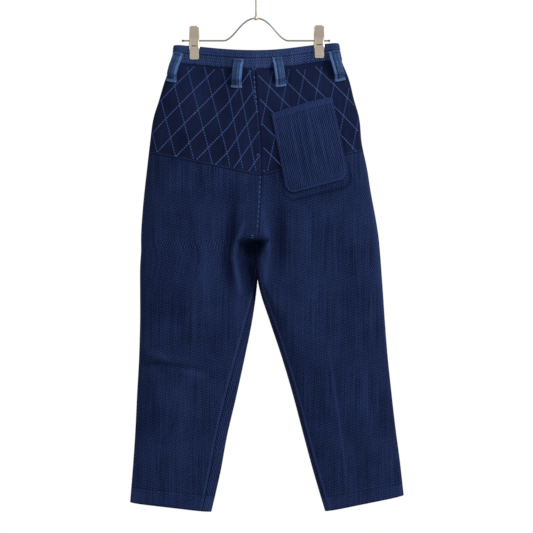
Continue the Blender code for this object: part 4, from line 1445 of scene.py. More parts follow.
@dataclass(frozen=True)
class YokeStitching:
    """The sashiko diamonds of the yoke, two families of running stitch that cross."""

    stitch: float = 6.2
    gap: float = -0.4
    width: float = 2.6
    height: float = 0.9
    lattice: tuple[tuple[float, ...], ...] = (
        (-134.2, 258.4, 29.2, -30.2, 10.9, 41.1),
        (102.2, 227.8, 28.2, 28.2, -8.4, 39.6),
    )

    def rows(self, side: Side, face: Face, across: bool) -> tuple[Array, Array, Array]:
        """The stitches of one family on one yoke.

        Lines run along one side of the lattice's diamond and are stepped along the other. Near the centre
        seam of the left panel the diamonds are narrower, so x is drawn together there.

        Args:
            side: The yoke's side.
            face: The side of the trousers.
            across: The family that runs along the lattice's first side, or its second.

        Returns:
            The starts, the ends and the normals.
        """
        x0, drop0, ux, ud, vx, vd = self.lattice[0 if side is Side.LEFT else 1]
        run, step = ((ux, ud), (vx, vd)) if across else ((vx, vd), (ux, ud))
        length = math.hypot(*run)
        count = round(length / (self.stitch + self.gap))
        pitch = length / count
        # A diamond's side holds a whole number of stitches, so that each crossing falls in a gap
        first = (np.arange(-10 * count, 10 * count) + 0.5) * pitch - self.stitch / 2
        walk = np.stack([first, first + self.stitch])[:, None, :] / length
        line = np.arange(-14, 15)[None, :, None]
        x = x0 + walk * run[0] + line * step[0]
        drop = drop0 + walk * run[1] + line * step[1]
        if side is Side.LEFT:
            x = np.where(x > -60, -60 + (x + 60) * 0.72, x)
        fold_x = np.interp(drop, *self.side_line(side))
        from_seam = (x - CLOTH.centre_x(drop)) * side.value
        inside = (drop > 200 + 14 * smooth(np.abs(x), 180, 0)) & (drop < CLOTH.yoke_drop(x) - 2)
        inside &= from_seam > (1.0 if side is Side.LEFT else 3.5)
        inside &= (np.abs(fold_x - x) > 2.5) & (np.abs(x) < np.abs(fold_x))
        kept = inside.all(axis=0)
        points, normals = CLOTH.place(x[:, kept], drop[:, kept], face)
        return points[0], points[1], normals.mean(axis=0)

    def side_line(self, side: Side) -> tuple[list[float], list[float]]:
        """The drops and places of the side fold."""
        rows = CLOTH.table(side).rows
        return [row.side_drop for row in rows], [row.side_x for row in rows]

    def build(self, finishes: Finishes) -> dict[tuple[Side, Face], list[Piece]]:
        """Builds the stitches of each yoke, each family in its own shade.

        Args:
            finishes: The part's finishes.

        Returns:
            The pieces on each yoke.
        """
        made = {(side, face): [] for side in Side for face in Face}
        for side, face in made:
            for across, finish in ((True, finishes.sashiko), (False, finishes.faint)):
                start, end, normal = self.rows(side, face, across)
                name = f"{face.word}_yoke_{side.word}_{'rising' if across else 'steep'}_stitches"
                stitches = add_stitches(name, start, end, normal, self.width, self.height, finish)
                made[side, face].append(stitches)
        return made


@dataclass(frozen=True)
class Waistband:
    """One ribbed strip round the waist, whose ends lap under the button at the centre front."""

    wall: float = 4.0
    end_x: float = 22.0
    under_x: float = -16.0
    under_run: float = 30.0
    ribs: int = 6
    rib_height: float = 0.35
    furrow: float = 0.42
    edge_bulge: float = 0.6
    rows: int = 34
    columns: int = 120

    def turn_at(self, side: Side, x: float) -> float:
        """The turn at a place of the waist seam."""
        rows = CLOTH.table(side).rows[WAIST_SEAM]
        return abs((x - rows.side_x) / (rows.inner_x - rows.side_x))

    def build(self, finishes: Finishes) -> Piece:
        """Builds the band.

        Its grid goes from the lapped end, along the right front, over the back to the left, and along the
        left front to the outer end. Its cross section has shallow ribs, a cosine of the share down it, and
        one furrow.

        Args:
            finishes: The part's finishes.

        Returns:
            The band.
        """
        levels = np.linspace(0, WAIST_SEAM, self.rows)
        even = np.linspace(0, 1, self.columns)
        under = self.turn_at(Side.RIGHT, self.end_x + self.under_run)
        parts = [
            (Side.LEFT, -np.linspace(self.turn_at(Side.LEFT, self.under_x), 0.995, 8)),
            (Side.RIGHT, -np.linspace(1, under, 28)[:-1]),
            (Side.RIGHT, -even[even < under][::-1][:-1]),
            (Side.RIGHT, even[:-1]),
            (Side.LEFT, even[:0:-1]),
            (Side.LEFT, -even),
            (Side.RIGHT, -np.linspace(1, self.turn_at(Side.RIGHT, self.end_x), 10)[1:]),
        ]
        rings = [CLOTH.points(side, levels[:, None], turns[None, :], fine=False) for side, turns in parts]
        grid = np.concatenate(rings, axis=1)
        normal = seam_normals([grid])[0]
        if (normal[:, grid.shape[1] // 2, 1]).mean() > 0:
            normal = -normal
        run = rings[0].shape[1] + rings[1].shape[1]
        sink = np.zeros(grid.shape[1])
        above = smooth(grid[0, : run + 1, 0], self.end_x + 4, self.end_x + self.under_run)
        sink[: run + 1] = (self.wall + SEAM_GAP) * (1 - above)
        down = np.linspace(0, 1, self.rows)[:, None]
        ribs = self.rib_height * np.cos(down * self.ribs * 2 * math.pi) * np.sin(down * math.pi) ** 0.5
        furrow = 0.9 * bell(down, self.furrow, 0.03)
        roll = 0.6 * bell(down, 0, 0.06) + 0.5 * bell(down, 1, 0.05)
        # The lower edge is lifted by the seam's gap and its own bulge
        rise = down[..., None] ** 6 * (SEAM_GAP + self.edge_bulge) * np.array([0, 0, 1])
        outer = grid + normal * (BAND_PROUD - sink + ribs - furrow - roll)[..., None] + rise
        inner = grid + normal * (BAND_PROUD - self.wall - sink)[None, :, None] + rise
        tone = np.broadcast_to(0.5 * ribs - 0.55 * furrow - 0.35 * bell(down, 1, 0.04), grid.shape[:2])
        flat = flat_places(grid, grid.shape[1] // 2, -1.0)
        flat[..., 1] = -0.042 * down
        band = wall_object("waistband_cloth", outer, inner, finishes.band, flat, tone, self.edge_bulge)
        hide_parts("waistband")
        return band


@dataclass(frozen=True)
class BeltLoop:
    """A folded strip that stands off the band between two sewn ends."""

    name: str
    face: Face
    x0: float
    drop0: float
    x1: float
    drop1: float
    width: float = 20.0
    wall: float = 3.2
    rise: float = 9.5
    sewn: float = 7.0

    def surface(self, rows: int, cols: int) -> tuple[Array, Array, Array, Array]:
        """The strip's underside and its normals.

        The strip's middle stands off the cloth by the rise, eased over 9 mm from each sewn end.

        Args:
            rows: How many rows down it.
            cols: How many columns across it.

        Returns:
            The underside's points, the normals, the shares across and the shares down.
        """
        s = np.linspace(0, 1, rows)
        x = self.x0 + (self.x1 - self.x0) * s
        drop = self.drop0 + (self.drop1 - self.drop0) * s
        length = math.hypot(self.x1 - self.x0, self.drop1 - self.drop0)
        base, normal = CLOTH.place(x, drop, self.face)
        wide = np.ones(7) / 7
        padded = np.pad(normal, ((3, 3), (0, 0)), mode="edge")
        normal = np.stack([np.convolve(padded[:, k], wide, "valid") for k in range(3)], axis=1)
        # The strip is held straight, so it stands off squarely and hardly to the side
        normal = unit(normal * np.array([0.45, 1.0, 1.0]))[:, None, :]
        arch = smooth(np.minimum(s, 1 - s) * length, self.sewn, self.sewn + 9)
        band = np.interp(s * length, [0, 18, 26], [BAND_PROUD + 0.2, BAND_PROUD + 0.2, 0])
        lift = 0.6 + band + self.rise * arch
        aside = unit(np.cross(np.gradient(base, axis=0)[:, None, :], normal))
        aside *= np.where(aside[..., :1] < 0, -1, 1)
        share = np.linspace(-0.5, 0.5, cols)[None, :]
        width = self.width * (1 + 0.10 * smooth(s, 0.88, 0.92))[:, None, None]
        under = base[:, None] + share[..., None] * width * aside + lift[:, None, None] * normal
        return under, np.broadcast_to(normal, under.shape), share, s[:, None]

    def build(self, finishes: Finishes) -> tuple[Piece, Piece]:
        """Builds the strip with the bright folded edge along its inner third, and its bar tacks.

        Args:
            finishes: The part's finishes.

        Returns:
            The strip and the tacks.
        """
        under, normal, share, s = self.surface(46, 26)
        inner = -math.copysign(1, (self.x0 + self.x1) / 2)
        toward = share * inner
        fold = smooth(toward, 0.20, 0.26) * smooth(toward, 0.52, 0.47)
        crown = (0.25 - share**2) * 2.0
        groove = 0.6 * bell(toward, 0.19, 0.03)
        pressed = 0.7 * bell(s, 0.91, 0.012) + 0.5 * bell(s, 0.07, 0.012)
        outer = under + normal * (self.wall - 0.6 + crown + 0.9 * fold - groove - pressed)[..., None]
        feet = smooth(s, 0.915, 0.935) + 0.3 * smooth(s, 0.08, 0.04)
        tone = 1.25 * fold + 0.5 * smooth(toward, -0.38, -0.46) - 0.9 * groove - 1.6 * pressed + feet - 0.2
        flat = np.stack(np.broadcast_arrays(share * 0.02, -0.065 * s), axis=-1)
        strip = wall_object(f"{self.name}_cloth", outer, under, finishes.loop, flat, tone, 0.9)
        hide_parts(self.name)
        # Bar tacks: close stitches across the foot and the head
        tacked = np.array([1, 2, 3, -4, -3, -2])
        parts = (outer[:, 2:21:3], outer[:, 4:23:3], normal[:, 2:21:3])
        start, end, up = (part[tacked].reshape(-1, 3) for part in parts)
        tacks = add_stitches(f"{self.name}_tacks", start, end, up, 1.1, 0.5, finishes.sewing)
        return strip, tacks


@dataclass(frozen=True)
class BackPocket:
    """The patch pocket, sewn at its sides and foot, which stands off the panel at its mouth."""

    top_left: tuple[float, float] = (32.6, 311.0)
    top_right: tuple[float, float] = (163.2, 273.0)
    foot_left: tuple[float, float] = (66.5, 481.5)
    foot_right: tuple[float, float] = (196.0, 446.0)
    corner: float = 0.13
    wall: float = 2.2
    puff: float = 10.5
    lift: float = 0.6
    mouth_hem: float = 0.075
    width: float = 130.0
    height: float = 165.0
    sewn_in: float = 4.5

    def places(self, across: Array, down: Array) -> tuple[Array, Array]:
        """The x and drop at shares across and down the pocket, with its lower corners rounded.

        Args:
            across: Shares across, from the left edge.
            down: Shares down, from the mouth.

        Returns:
            The places in millimetres.
        """
        near_foot = np.clip((down - 1 + self.corner) / self.corner, 0, 1)
        narrow = self.corner * 1.25 * (1 - np.sqrt(1 - 0.96 * near_foot**2))
        across = narrow + across * (1 - 2 * narrow)
        top = [a + (b - a) * across for a, b in zip(self.top_left, self.top_right)]
        foot = [a + (b - a) * across for a, b in zip(self.foot_left, self.foot_right)]
        x, drop = (a + (b - a) * down for a, b in zip(top, foot))
        return x, drop

    def from_edge(self, across: Array, down: Array) -> Array:
        """How far points are from the nearest sewn edge, in millimetres."""
        return np.minimum(np.minimum(across, 1 - across) * self.width, (1 - down) * self.height)

    def faces(self, across: Array, down: Array) -> tuple[Array, Array, Array]:
        """Points of the pocket's outer and inner faces and their normals.

        It stands off by the puff times the root of a sine across it, which falls with the cube of the way
        down; the hem of its mouth is proud, and a groove under it is pressed by its stitches.

        Args:
            across: Shares across, from the left edge.
            down: Shares down, from the mouth.

        Returns:
            The outer and the inner points in millimetres, and the normals.
        """
        base, normal = CLOTH.place(*self.places(across, down), Face.BACK, True)
        edge = self.from_edge(across, down)
        puff = self.puff * np.sqrt(np.sin(across * math.pi).clip(0)) * (1 - down**3)
        hem = 0.7 * smooth(down, self.mouth_hem + 0.012, self.mouth_hem - 0.004)
        groove = 0.3 * bell(edge, self.sewn_in, 1.3)
        ripple = 0.2 * np.sin(down * 60 + 5 * across) * np.sin(across * math.pi) * np.exp(-(edge / 9))
        off = self.lift + puff
        outer = base + normal * (off + self.wall + hem - groove + ripple)[..., None]
        return outer, base + normal * off[..., None], normal

    def build(self, finishes: Finishes) -> list[Piece]:
        """Builds the pocket and its rows of stitches.

        Args:
            finishes: The part's finishes.

        Returns:
            The pocket and the stitches.
        """
        across = (1 - np.cos(np.linspace(0, math.pi, 72))) / 2
        down = np.concatenate([np.linspace(0, 0.86, 76), np.linspace(0.86, 1, 22)[1:]])
        across, down = np.meshgrid(across, down)
        outer, inner, _ = self.faces(across, down)
        edge = self.from_edge(across, down)
        # Lighter on the mouth's hem and at the worn edges, with a dark line inside each row of stitches
        hem = self.mouth_hem
        tone = 0.30 * smooth(down, hem + 0.01, hem) + 0.22 * smooth(edge, 6, 2)
        tone = tone + 0.22 * smooth(across, 0.07, 0.05) * smooth(down, 0.5, 0.3)
        tone = tone - 0.4 * bell(down, hem + 0.006, 0.006)
        tone = tone - 0.2 * bell(edge, 6.5, 1.2) * smooth(down, hem, hem + 0.02)
        flat = np.stack([across * 0.14, -down * 0.17], axis=-1)
        pocket = wall_object("back_pocket_cloth", outer, inner, finishes.pocket, flat, tone)
        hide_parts("back_pocket")
        return [pocket, self.sewing(finishes)]

    def sewing(self, finishes: Finishes) -> Piece:
        """The rows of stitches round the sides and foot and under the mouth's hem.

        Args:
            finishes: The part's finishes.

        Returns:
            The one piece of them all.
        """
        inset_x, inset_y = self.sewn_in / self.width, self.sewn_in / self.height
        side = np.linspace(0.01, 1 - inset_y, 56)
        foot = np.linspace(inset_x, 1 - inset_x, 42)
        mouth = np.full(42, self.mouth_hem)
        paths = (
            (np.full(56, inset_x), side),
            (foot, np.full(42, 1 - inset_y)),
            (np.full(56, 1 - inset_x), side),
            (foot, mouth),
        )
        rows = []
        for across, down in paths:
            points, _, normal = self.faces(across, down)
            rows.append(sewn_row(points, normal))
        stitches = sewn_rows("back_pocket_stitches", rows, finishes.faint)
        return stitches


@dataclass(frozen=True)
class Fly:
    """The fly's placket, a strip over the centre front seam with a rounded foot."""

    width: float = 38.0
    length: float = 168.0
    wall: float = 1.8
    lift: float = 0.6
    past_centre: float = 5.0
    sewn_column: int = 19

    def build(self, finishes: Finishes) -> list[Piece]:
        """Builds the placket and the curved row of stitches that holds it.

        Args:
            finishes: The part's finishes.

        Returns:
            The placket and the stitches.
        """
        down = np.concatenate([np.linspace(0, 0.8, 40), np.linspace(0.8, 1, 26)[1:]])[:, None]
        across = np.linspace(0, 1, 22)[None, :]
        first = LEFT_LEG.rows[WAIST_SEAM].inner_drop + FULLNESS.rows[WAIST_SEAM].front_lower + 1.2
        drop = first + self.length * down + 0 * across
        near_foot = np.clip((down - 0.8) / 0.2, 0, 1)
        rounding = self.width * 0.8 * (1 - np.sqrt(1 - (near_foot * 0.98) ** 2))
        x = CLOTH.centre_x(drop) + self.past_centre - (self.width - rounding) * across
        base, normal = CLOTH.place(x, drop, Face.FRONT)
        inner = base + normal * self.lift
        outer = inner + normal * self.wall
        tone = 0.15 * smooth(across, 0.9, 1.0) + 0 * down
        flat = flat_places(outer, outer.shape[1] // 2, 1.0)
        placket = wall_object("fly_placket_cloth", outer, inner, finishes.leg, flat, tone, 0.7)
        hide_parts("fly_placket")
        row = sewn_row(outer[:, self.sewn_column], normal[:, self.sewn_column])
        stitches = sewn_rows("fly_stitches", [row], finishes.sewing)
        return [placket, stitches]


@dataclass(frozen=True)
class WaistButton:
    """The waist button, a turned disc with a raised rim and four holes' worth of thread."""

    x: float = 4.0
    radius: float = 9.0
    thickness: float = 3.5

    def build(self, finishes: Finishes) -> list[Piece]:
        """Builds the button on the band's outer end, and the thread that holds it.

        Args:
            finishes: The part's finishes.

        Returns:
            The button and its thread.
        """
        r, h = self.radius, self.thickness
        bends = np.linspace(2.6, -1.2, 12)
        rim = [(r * (0.86 + 0.12 * math.cos(a)), h * (0.72 + 0.28 * math.sin(a))) for a in bends]
        profile = [(0, h * 0.62), (r * 0.3, h * 0.6), (r * 0.66, h * 0.66), *rim, (r * 0.9, 0), (0, 0)]
        upper = LEFT_LEG.rows[0].inner_drop + LEFT_LEG.rows[WAIST_SEAM].inner_drop
        drop = upper / 2 + FULLNESS.rows[0].front_lower
        base, normal = CLOTH.place(np.array([self.x]), np.array([drop]), Face.FRONT)
        up = normal[0]
        side = unit(np.array([1.0, 0, 0]) - up * up[0])
        turn = np.stack([side, np.cross(up, side), up], axis=1)
        foot = base[0] + up * (BAND_PROUD + 0.5)
        button = turned_object("waist_button_horn", profile, finishes.horn, foot, turn)
        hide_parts("waist_button")
        holes = np.array([(-1.6, -1.6), (1.6, -1.6), (-1.6, 1.6), (1.6, 1.6)])
        spots = foot + (np.column_stack([holes, np.full(4, h * 0.62)]) @ turn.T)
        start, end = spots[[0, 1, 0, 1]], spots[[3, 2, 3, 2]]
        ups = np.tile(up, (4, 1))
        thread = add_stitches("waist_button_thread", start, end, ups, 1.1, 0.7, finishes.sewing)
        return [button, thread]


@dataclass(frozen=True)
class Hanger:
    """The arms' wire with its hump, the eye that the arms meet in, and the hook."""

    arm_wire: float = 3.2
    hook_wire: float = 3.0
    arm_drop: float = 148.5
    hump_top: float = 100.0
    hump_half: float = 70.0
    arm_end: float = 159.0
    eye_radius: float = 5.0
    eye_height: float = 8.0
    hook_inner: float = 19.0
    tip_angle: float = 205.0

    def hump(self, x: Array) -> Array:
        """The drop of the arms at x: level at the sides, and raised to the eye by a sharpened cosine."""
        wave = 0.5 + 0.5 * np.cos(math.pi * np.minimum(np.abs(x) / self.hump_half, 1))
        return self.arm_drop - (self.arm_drop - self.hump_top) * wave ** (0.9 - 0.3 * wave)

    def wire(self, name: str, path: Array, diameter: float, finish: Material) -> Piece:
        """A round wire with softly rounded ends.

        Args:
            name: The piece's name.
            path: Points of its centre line.
            diameter: In millimetres.
            finish: Its material.

        Returns:
            The object.
        """
        run = run_along(path)
        end = np.minimum(run, run[-1] - run)
        radius = diameter / 2 * np.sqrt(1 - (1 - np.clip(end / 0.8, 0.02, 1)) ** 2)
        return tube_object(name, path, radius, finish)

    def ends_packed(self, path: Array) -> Array:
        """The path with four more points in the last millimetre at each end, for the rounded ends.

        Args:
            path: Points of a centre line.

        Returns:
            The longer list of points.
        """
        run = run_along(path)
        more = np.array([0.08, 0.25, 0.5, 0.8])
        at = np.sort(np.concatenate([run, more, run[-1] - more]))
        return np.stack([np.interp(at, run, path[:, k]) for k in range(3)], axis=1)

    def build(self, finishes: Finishes) -> list[Piece]:
        """Builds the arms with their end stops, the eye and the hook.

        Args:
            finishes: The part's finishes.

        Returns:
            The pieces.
        """
        made = []
        start = self.eye_radius + SEAM_GAP
        for side in Side:
            rising = np.linspace(start + 3, self.hump_half, 60)
            x = np.concatenate([[start], rising, np.linspace(self.hump_half + 1, self.arm_end, 30)])
            drop = self.hump(np.maximum(x, start + 3))
            path = np.stack([side.value * x, 0 * x, -drop], axis=1)
            name = f"hanger_arm_{side.word}"
            arm = self.wire(f"{name}_wire", self.ends_packed(path), self.arm_wire, finishes.wire)
            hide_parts(name)
            stop_x = side.value * np.array([self.arm_end - 4.5, self.arm_end + 0.5])
            stop = np.stack([stop_x, 0 * stop_x, np.full(2, -self.arm_drop)], axis=1)
            stop = self.ends_packed(np.linspace(stop[0], stop[1], 5))
            made += [arm, self.wire(f"arm_stop_{side.word}", stop, self.arm_wire + 1.0, finishes.stop)]

        r, h = self.eye_radius, self.eye_height / 2
        bends = np.linspace(1.57, -0.9, 6)
        collar = [(r * 0.62 + 0.5 * math.cos(a), h - 0.5 + 0.5 * math.sin(a)) for a in bends]
        barrel = [(r + 0.5 * math.cos(a) - 0.3, (h - 2.0) * math.sin(a)) for a in np.linspace(1.2, -1.2, 12)]
        foot = [(x, -z) for x, z in collar[::-1]]
        profile = [(0, h), *collar, *barrel, *foot, (0, -h)]
        eye = turned_object("hanger_eye_barrel", profile, finishes.nickel, np.array([0, 0, -self.hump_top]))
        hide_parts("hanger_eye")
        made.append(eye)

        path = self.ends_packed(self.hook_path())
        hook = self.wire("hanger_hook_wire", path, self.hook_wire, finishes.wire)
        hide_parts("hanger_hook")
        made.append(hook)
        return made

    def hook_path(self) -> Array:
        """The hook's centre line: a stem, a bend on a cubic curve and an arc round the rail.

        Returns:
            Its points in millimetres.
        """
        r = self.hook_inner + self.hook_wire / 2
        centre = -self.hook_inner
        stem_top = centre - r - 14
        stem_foot = -self.hump_top + self.eye_height / 2 + SEAM_GAP
        bend = math.radians(-42)
        end = np.array([r * math.cos(bend), centre + r * math.sin(bend)])
        along = np.array([-math.sin(bend), math.cos(bend)])
        control = np.array([[0, stem_top], [0, stem_top + 9], end - 11 * along, end])
        u = np.linspace(0, 1, 26)[1:-1, None]
        weights = np.concatenate([(1 - u) ** 3, 3 * u * (1 - u) ** 2, 3 * u * u * (1 - u), u**3], axis=1)
        neck = weights @ control
        angle = np.linspace(bend, math.radians(self.tip_angle), 90)
        arc = np.stack([r * np.cos(angle), centre + r * np.sin(angle)], axis=1)
        stem = np.stack([np.zeros(6), np.linspace(stem_foot, stem_top, 6)], axis=1)
        flat = np.concatenate([stem, neck, arc])
        return np.stack([flat[:, 0], 0 * flat[:, 0], flat[:, 1]], axis=1)


@dataclass(frozen=True)
class SpringClip:
    """A clip: two pressed jaws with turned-in sides, and the coil spring round the arm between them."""

    place: ClipPlace
    sheet: float = 1.2
    top_spread: float = 12.0
    hub_radius: float = 4.4
    hub_width: float = 15.0
    arm_drop: float = 148.5
    bend: float = 1.3
    spring_wire: float = 1.2
    coils: float = 7.5

    def jaw_points(self, share: Array, walk: Array) -> tuple[Array, Array]:
        """The inside of a jaw, before it is set on its side of the band.

        Down it, the distance from the middle and the width follow a table. Across it, the walk goes over
        the flat, round a bend and along the side that is turned in.

        Args:
            share: Shares of the height, from the top.
            walk: Walks across, from -1 to 1 over the flat and the sides.

        Returns:
            The x from the clip's middle, and the distance from the band's middle plane.
        """
        grip = CLOTH.grip_half_gap + BAND_PROUD + SEAM_GAP
        hub = self.hub_radius + SEAM_GAP
        spread = self.top_spread
        # Rows: share of the height, distance from the middle, width, and how far the sides are turned in
        table = np.array(
            [
                (0.00, spread, 13.6, 0.0),
                (0.012, spread, 16.2, 0.2),
                (0.035, spread * 0.98, 18.0, 0.6),
                (0.18, spread * 0.80, 18.4, 1.6),
                (0.34, hub + 0.9, 18.6, 3.0),
                (0.40, hub + 0.4, 18.6, 3.2),
                (0.46, hub + 0.2, 18.8, 3.0),
                (0.58, hub + 0.25, 20.6, 1.4),
                (0.64, grip + 0.35, 21.6, 0.6),
                (0.70, grip + 0.1, 22.0, 0.2),
                (0.95, grip + 0.1, 22.0, 0.0),
                (0.98, grip + 0.3, 21.0, 0.0),
                (1.00, grip + 0.7, 18.0, 0.0),
            ]
        )
        away, width, side = (np.interp(share, table[:, 0], table[:, k]) for k in (1, 2, 3))
        bend, quarter = self.bend, self.bend * math.pi / 2
        # The bend opens out where the sides are turned in by less than 0.6 mm
        bent = np.clip(side / 0.6, 0.0, 1.0)
        flat_half = width / 2 - bend
        run = np.abs(walk) * (flat_half + quarter * bent + side)
        over = np.clip(run - flat_half, 0, None)
        angle = np.clip(over / bend, 0, math.pi / 2) * bent
        x = np.minimum(run, flat_half) + np.where(side > 0.05, bend * np.sin(angle), over)
        turned_in = bend * (1 - np.cos(angle)) + np.clip(over - quarter, 0, None)
        return np.sign(walk) * x, away - turned_in

    def jaw(self, face: Face, finishes: Finishes) -> Piece:
        """One jaw, pressed from sheet, with a slot for the spring's end and a rib across its foot.

        Args:
            face: The side of the trousers that it presses on.
            finishes: The part's finishes.

        Returns:
            The object.
        """
        rows, cols = 72, 33
        share = np.linspace(0, 1, rows)[:, None] + np.zeros((1, cols))
        walk = np.linspace(-1, 1, cols)[None, :] + np.zeros((rows, 1))
        x, away = self.jaw_points(share, walk)
        rib = 0.5 * bell(share, 0.86, 0.012) + 0.5 * bell(share, 0.90, 0.012)
        away = away + rib * smooth(np.abs(walk), 0.92, 0.8)
        height = self.place.foot_drop - self.place.top_drop
        drop = self.place.top_drop + share * height
        shift = 1.0 if face is Face.FRONT else 0.0
        points = np.stack([self.place.x - shift + x, -face.value * away, -drop], axis=-1)
        ids = np.arange(rows * cols).reshape(rows, cols)
        quads = grid_quads(ids)
        middle = points.reshape(-1, 3)[quads].mean(axis=1)
        slot_drop = self.place.top_drop + 0.59 * height
        in_slot = (np.abs(middle[:, 0] - self.place.x) < 6.0) & (np.abs(-middle[:, 2] - slot_drop) < 1.3)
        quads = quads[~in_slot]
        if face is Face.BACK:
            quads = quads[:, ::-1]
        name = f"clip_{self.place.name}_{face.word}_jaw"
        mesh = bpy.data.meshes.new(f"{name}_sheet")
        mesh.from_pydata((points.reshape(-1, 3) * MM).tolist(), [], quads.tolist())
        mesh.shade_smooth()
        mesh.materials.append(finishes.nickel)
        obj = into_scene(f"{name}_sheet", mesh)
        wall = obj.modifiers.new("wall", "SOLIDIFY")
        wall.thickness = self.sheet * MM
        wall.offset = 1.0
        soft = obj.modifiers.new("edges", "BEVEL")
        soft.width = 0.25 * MM
        soft.segments = 2
        soft.limit_method = "ANGLE"
        soft.angle_limit = math.radians(50)
        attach(obj, "root")
        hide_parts(name)
        return obj

    def spring(self, finishes: Finishes) -> Piece:
        """The coil round the arm: a helix of wire.

        Args:
            finishes: The part's finishes.

        Returns:
            The object.
        """
        wire = self.spring_wire
        radius = self.hub_radius - wire / 2
        angle = np.linspace(0, self.coils * 2 * math.pi, 330)
        x = np.linspace(-self.hub_width / 2 + wire, self.hub_width / 2 - wire, len(angle))
        out = np.stack([0 * x, np.cos(angle), np.sin(angle)], axis=1)
        coil = out * radius + np.stack([self.place.x + x, 0 * x, 0 * x - self.arm_drop], axis=1)
        obj = tube_object(f"clip_{self.place.name}_spring", coil, wire / 2, finishes.stop, 10, out)
        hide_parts(f"clip_{self.place.name}_hub")
        return obj

    def build(self, finishes: Finishes) -> list[Piece]:
        """Builds both jaws and the spring."""
        return [self.jaw(Face.BACK, finishes), self.jaw(Face.FRONT, finishes), self.spring(finishes)]


@dataclass(frozen=True)
class SeamStitching:
    """The visible rows of machine stitching along the seams and hems."""

    stitch: float = 3.0
    gap: float = 1.4
    off_seam: float = 3.2

    def build(self, finishes: Finishes) -> list[Piece]:
        """Builds the rows of each leg and of the centre seam.

        Args:
            finishes: The part's finishes.

        Returns:
            One piece of stitches for each group.
        """
        made = []
        for side in Side:
            lines = [self.hem_line(side), self.inseam_line(side), self.yoke_line(side)]
            rows = [stitch_line(line, self.stitch, self.gap, Face.BACK, 0.05) for line in lines]
            made.append(sewn_rows(f"seam_stitches_{side.word}", rows, finishes.sewing))
        rows = [stitch_line(line, 7.0, 3.4, Face.BACK, 0.2) for line in self.hand_lines()]
        made.append(sewn_rows("centre_hand_stitches", rows, finishes.sashiko, 2.8, 1.0))
        return made

    def hem_line(self, side: Side) -> Array:
        """The line where the turned hem is sewn, seen from the back.

        Args:
            side: The side of the trousers.

        Returns:
            Its points, as x and drop.
        """
        rows = CLOTH.table(side)
        level = HEM - HEM_TURN / (rows.rows[HEM].side_drop - rows.rows[HEM - 1].side_drop)
        turn = np.linspace(0.02, 0.985, 60)
        return CLOTH.points(side, np.full(60, level), turn, fine=False)[:, ::2] * (1, -1)

    def inseam_line(self, side: Side) -> Array:
        """The row beside the inside leg seam, on the back panel.

        Args:
            side: The side of the trousers.

        Returns:
            Its points, as x and drop.
        """
        rows = CLOTH.table(side)
        levels = np.linspace(FORK + 1.2, HEM - 0.4, 80)
        x = rows.at("inner_x", levels) + side.value * (rows.at("seam_shift", levels) + self.off_seam)
        return np.stack([x, rows.at("inner_drop", levels)], axis=1)

    def yoke_line(self, side: Side) -> Array:
        """The row just above the yoke's lower edge."""
        return CLOTH.yoke_line(side, np.linspace(0.02, 0.985, 60)) - (0, self.off_seam)

    def hand_lines(self) -> list[list[tuple[float, float]]]:
        """The hand stitches that hold the centre seam: down its edge, and a cross at the waist.

        Returns:
            The lines, as x and drop.
        """
        drop = np.linspace(226, 300, 30)
        edge = [(float(a) - 1.5, float(b)) for a, b in zip(CLOTH.centre_x(drop), drop)]
        short = [[(x, drop), (x + 10, drop - 9)] for x, drop in ((-1, 308), (2, 352), (0, 400))]
        cross = [[(-10, 208), (2, 222)], [(2, 208), (-10, 222)]]
        bars = [[(-13, drop), (-2, drop)] for drop in (568, 572.5)]
        lower = np.linspace(440, 556, 40)
        worn = [(float(a) - 1.8, float(b)) for a, b in zip(CLOTH.centre_x(lower), lower)]
        return [edge, *short, *cross, *bars, worn]


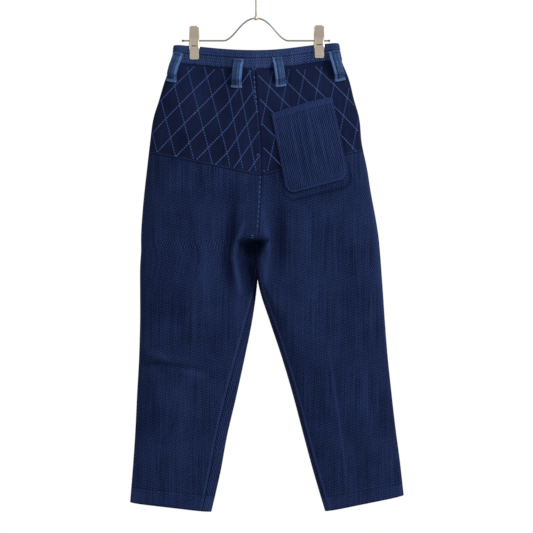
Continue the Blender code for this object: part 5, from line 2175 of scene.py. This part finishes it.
@dataclass(frozen=True)
class Studio:
    """The camera, the soft lights and the pale floor. Lengths are in metres."""

    eye: tuple[float, float, float] = (0.0226, -3.5, -0.634)
    lens: float = 109.9
    wall_light: float = 0.45
    floor_drop: float = 1.30
    floor_radius: float = 0.44

    def build(self) -> None:
        """Makes the camera, the world, the lights and the floor."""
        camera_data = bpy.data.cameras.new("photograph")
        camera_data.lens = self.lens
        camera_data.sensor_width = 36
        camera = into_scene("photograph", camera_data)
        camera.location = self.eye
        camera.rotation_euler = (math.radians(90), 0, 0)
        bpy.context.scene.camera = camera
        bpy.context.scene.view_settings.view_transform = "Standard"

        # The backdrop is white, and as a light it is as bright as a white wall some way off
        world = bpy.data.worlds.new("studio")
        world.use_nodes = True
        tree = world.node_tree
        wall = tree.nodes["Background"]
        seen = add_node(tree, "LightPath").outputs["Is Camera Ray"]
        bright = add_node(tree, "MapRange", {"Value": seen, "To Min": self.wall_light, "To Max": 1.0})
        feed(tree, wall, {"Color": (1, 1, 1, 1), "Strength": bright.outputs["Result"]})
        bpy.context.scene.world = world

        self.light("key", (1.9, -1.9, 1.1), 0.8, 58.0)
        self.light("fill", (-1.9, -2.2, 0.5), 1.6, 6.0)
        self.light("rim", (1.4, 1.4, 0.6), 1.4, 10.0)
        self.floor()

    def light(self, name: str, place: tuple[float, float, float], size: float, power: float) -> None:
        """A square soft light that faces the middle of the trousers.

        Args:
            name: The light's name.
            place: Where it hangs, in metres.
            size: The length of its side, in metres.
            power: In watts.
        """
        data = bpy.data.lights.new(name, "AREA")
        data.size, data.energy = size, power
        light = into_scene(name, data)
        light.location = place
        toward = np.array([0.0, 0.0, -0.62]) - np.array(place)
        flat = math.hypot(toward[0], toward[1])
        about_z = math.atan2(toward[1], toward[0]) - math.pi / 2
        light.rotation_euler = (math.atan2(flat, -toward[2]), 0, about_z)

    def floor(self) -> None:
        """A round pale floor under the trousers."""
        angle = np.arange(96) / 96 * 2 * math.pi
        flat = (self.floor_radius * np.cos(angle), self.floor_radius * np.sin(angle))
        ring = np.stack([*flat, 0 * angle - self.floor_drop], axis=1)
        mesh = bpy.data.meshes.new("floor")
        mesh.from_pydata(ring.tolist(), [], [list(range(len(ring)))])
        material, tree, shader = new_material("pale_floor")
        feed(tree, shader, {"Base Color": linear("#F2F2F0"), "Roughness": 0.9})
        mesh.materials.append(material)
        into_scene("floor", mesh)


LOOPS = (
    BeltLoop("belt_loop_back_1", Face.BACK, -166.5, 175.5, -182.0, 238.0),
    BeltLoop("belt_loop_back_2", Face.BACK, -36.0, 191.5, -41.5, 252.5),
    BeltLoop("belt_loop_back_3", Face.BACK, 44.0, 187.0, 53.0, 250.0),
    BeltLoop("belt_loop_back_4", Face.BACK, 166.0, 172.0, 180.5, 236.5),
    BeltLoop("belt_loop_front_1", Face.FRONT, -62.0, 188.5, -65.0, 249.5),
    BeltLoop("belt_loop_front_2", Face.FRONT, 62.0, 187.0, 65.0, 248.0),
)


def main() -> None:
    """Dresses the frame: the trousers first, then the hanger, and the studio last."""
    logging.basicConfig(level=logging.INFO, format="%(message)s")
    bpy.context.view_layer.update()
    finishes = Finishes()
    panels = Panels().build(finishes)
    diamonds = YokeStitching().build(finishes)
    seams = SeamStitching().build(finishes)
    band = Waistband().build(finishes)
    for loop in LOOPS:
        strip, tacks = loop.build(finishes)
    pocket, pocket_stitches = BackPocket().build(finishes)
    placket, fly_stitches = Fly().build(finishes)
    WaistButton().build(finishes)
    Hanger().build(finishes)
    for clip in CLIPS.values():
        SpringClip(clip).build(finishes)

    for (side, face, kind), panel in panels.items():
        if kind == "yoke":
            continue
    Studio().build()
    bpy.context.view_layer.update()


if __name__ == "__main__":
    main()
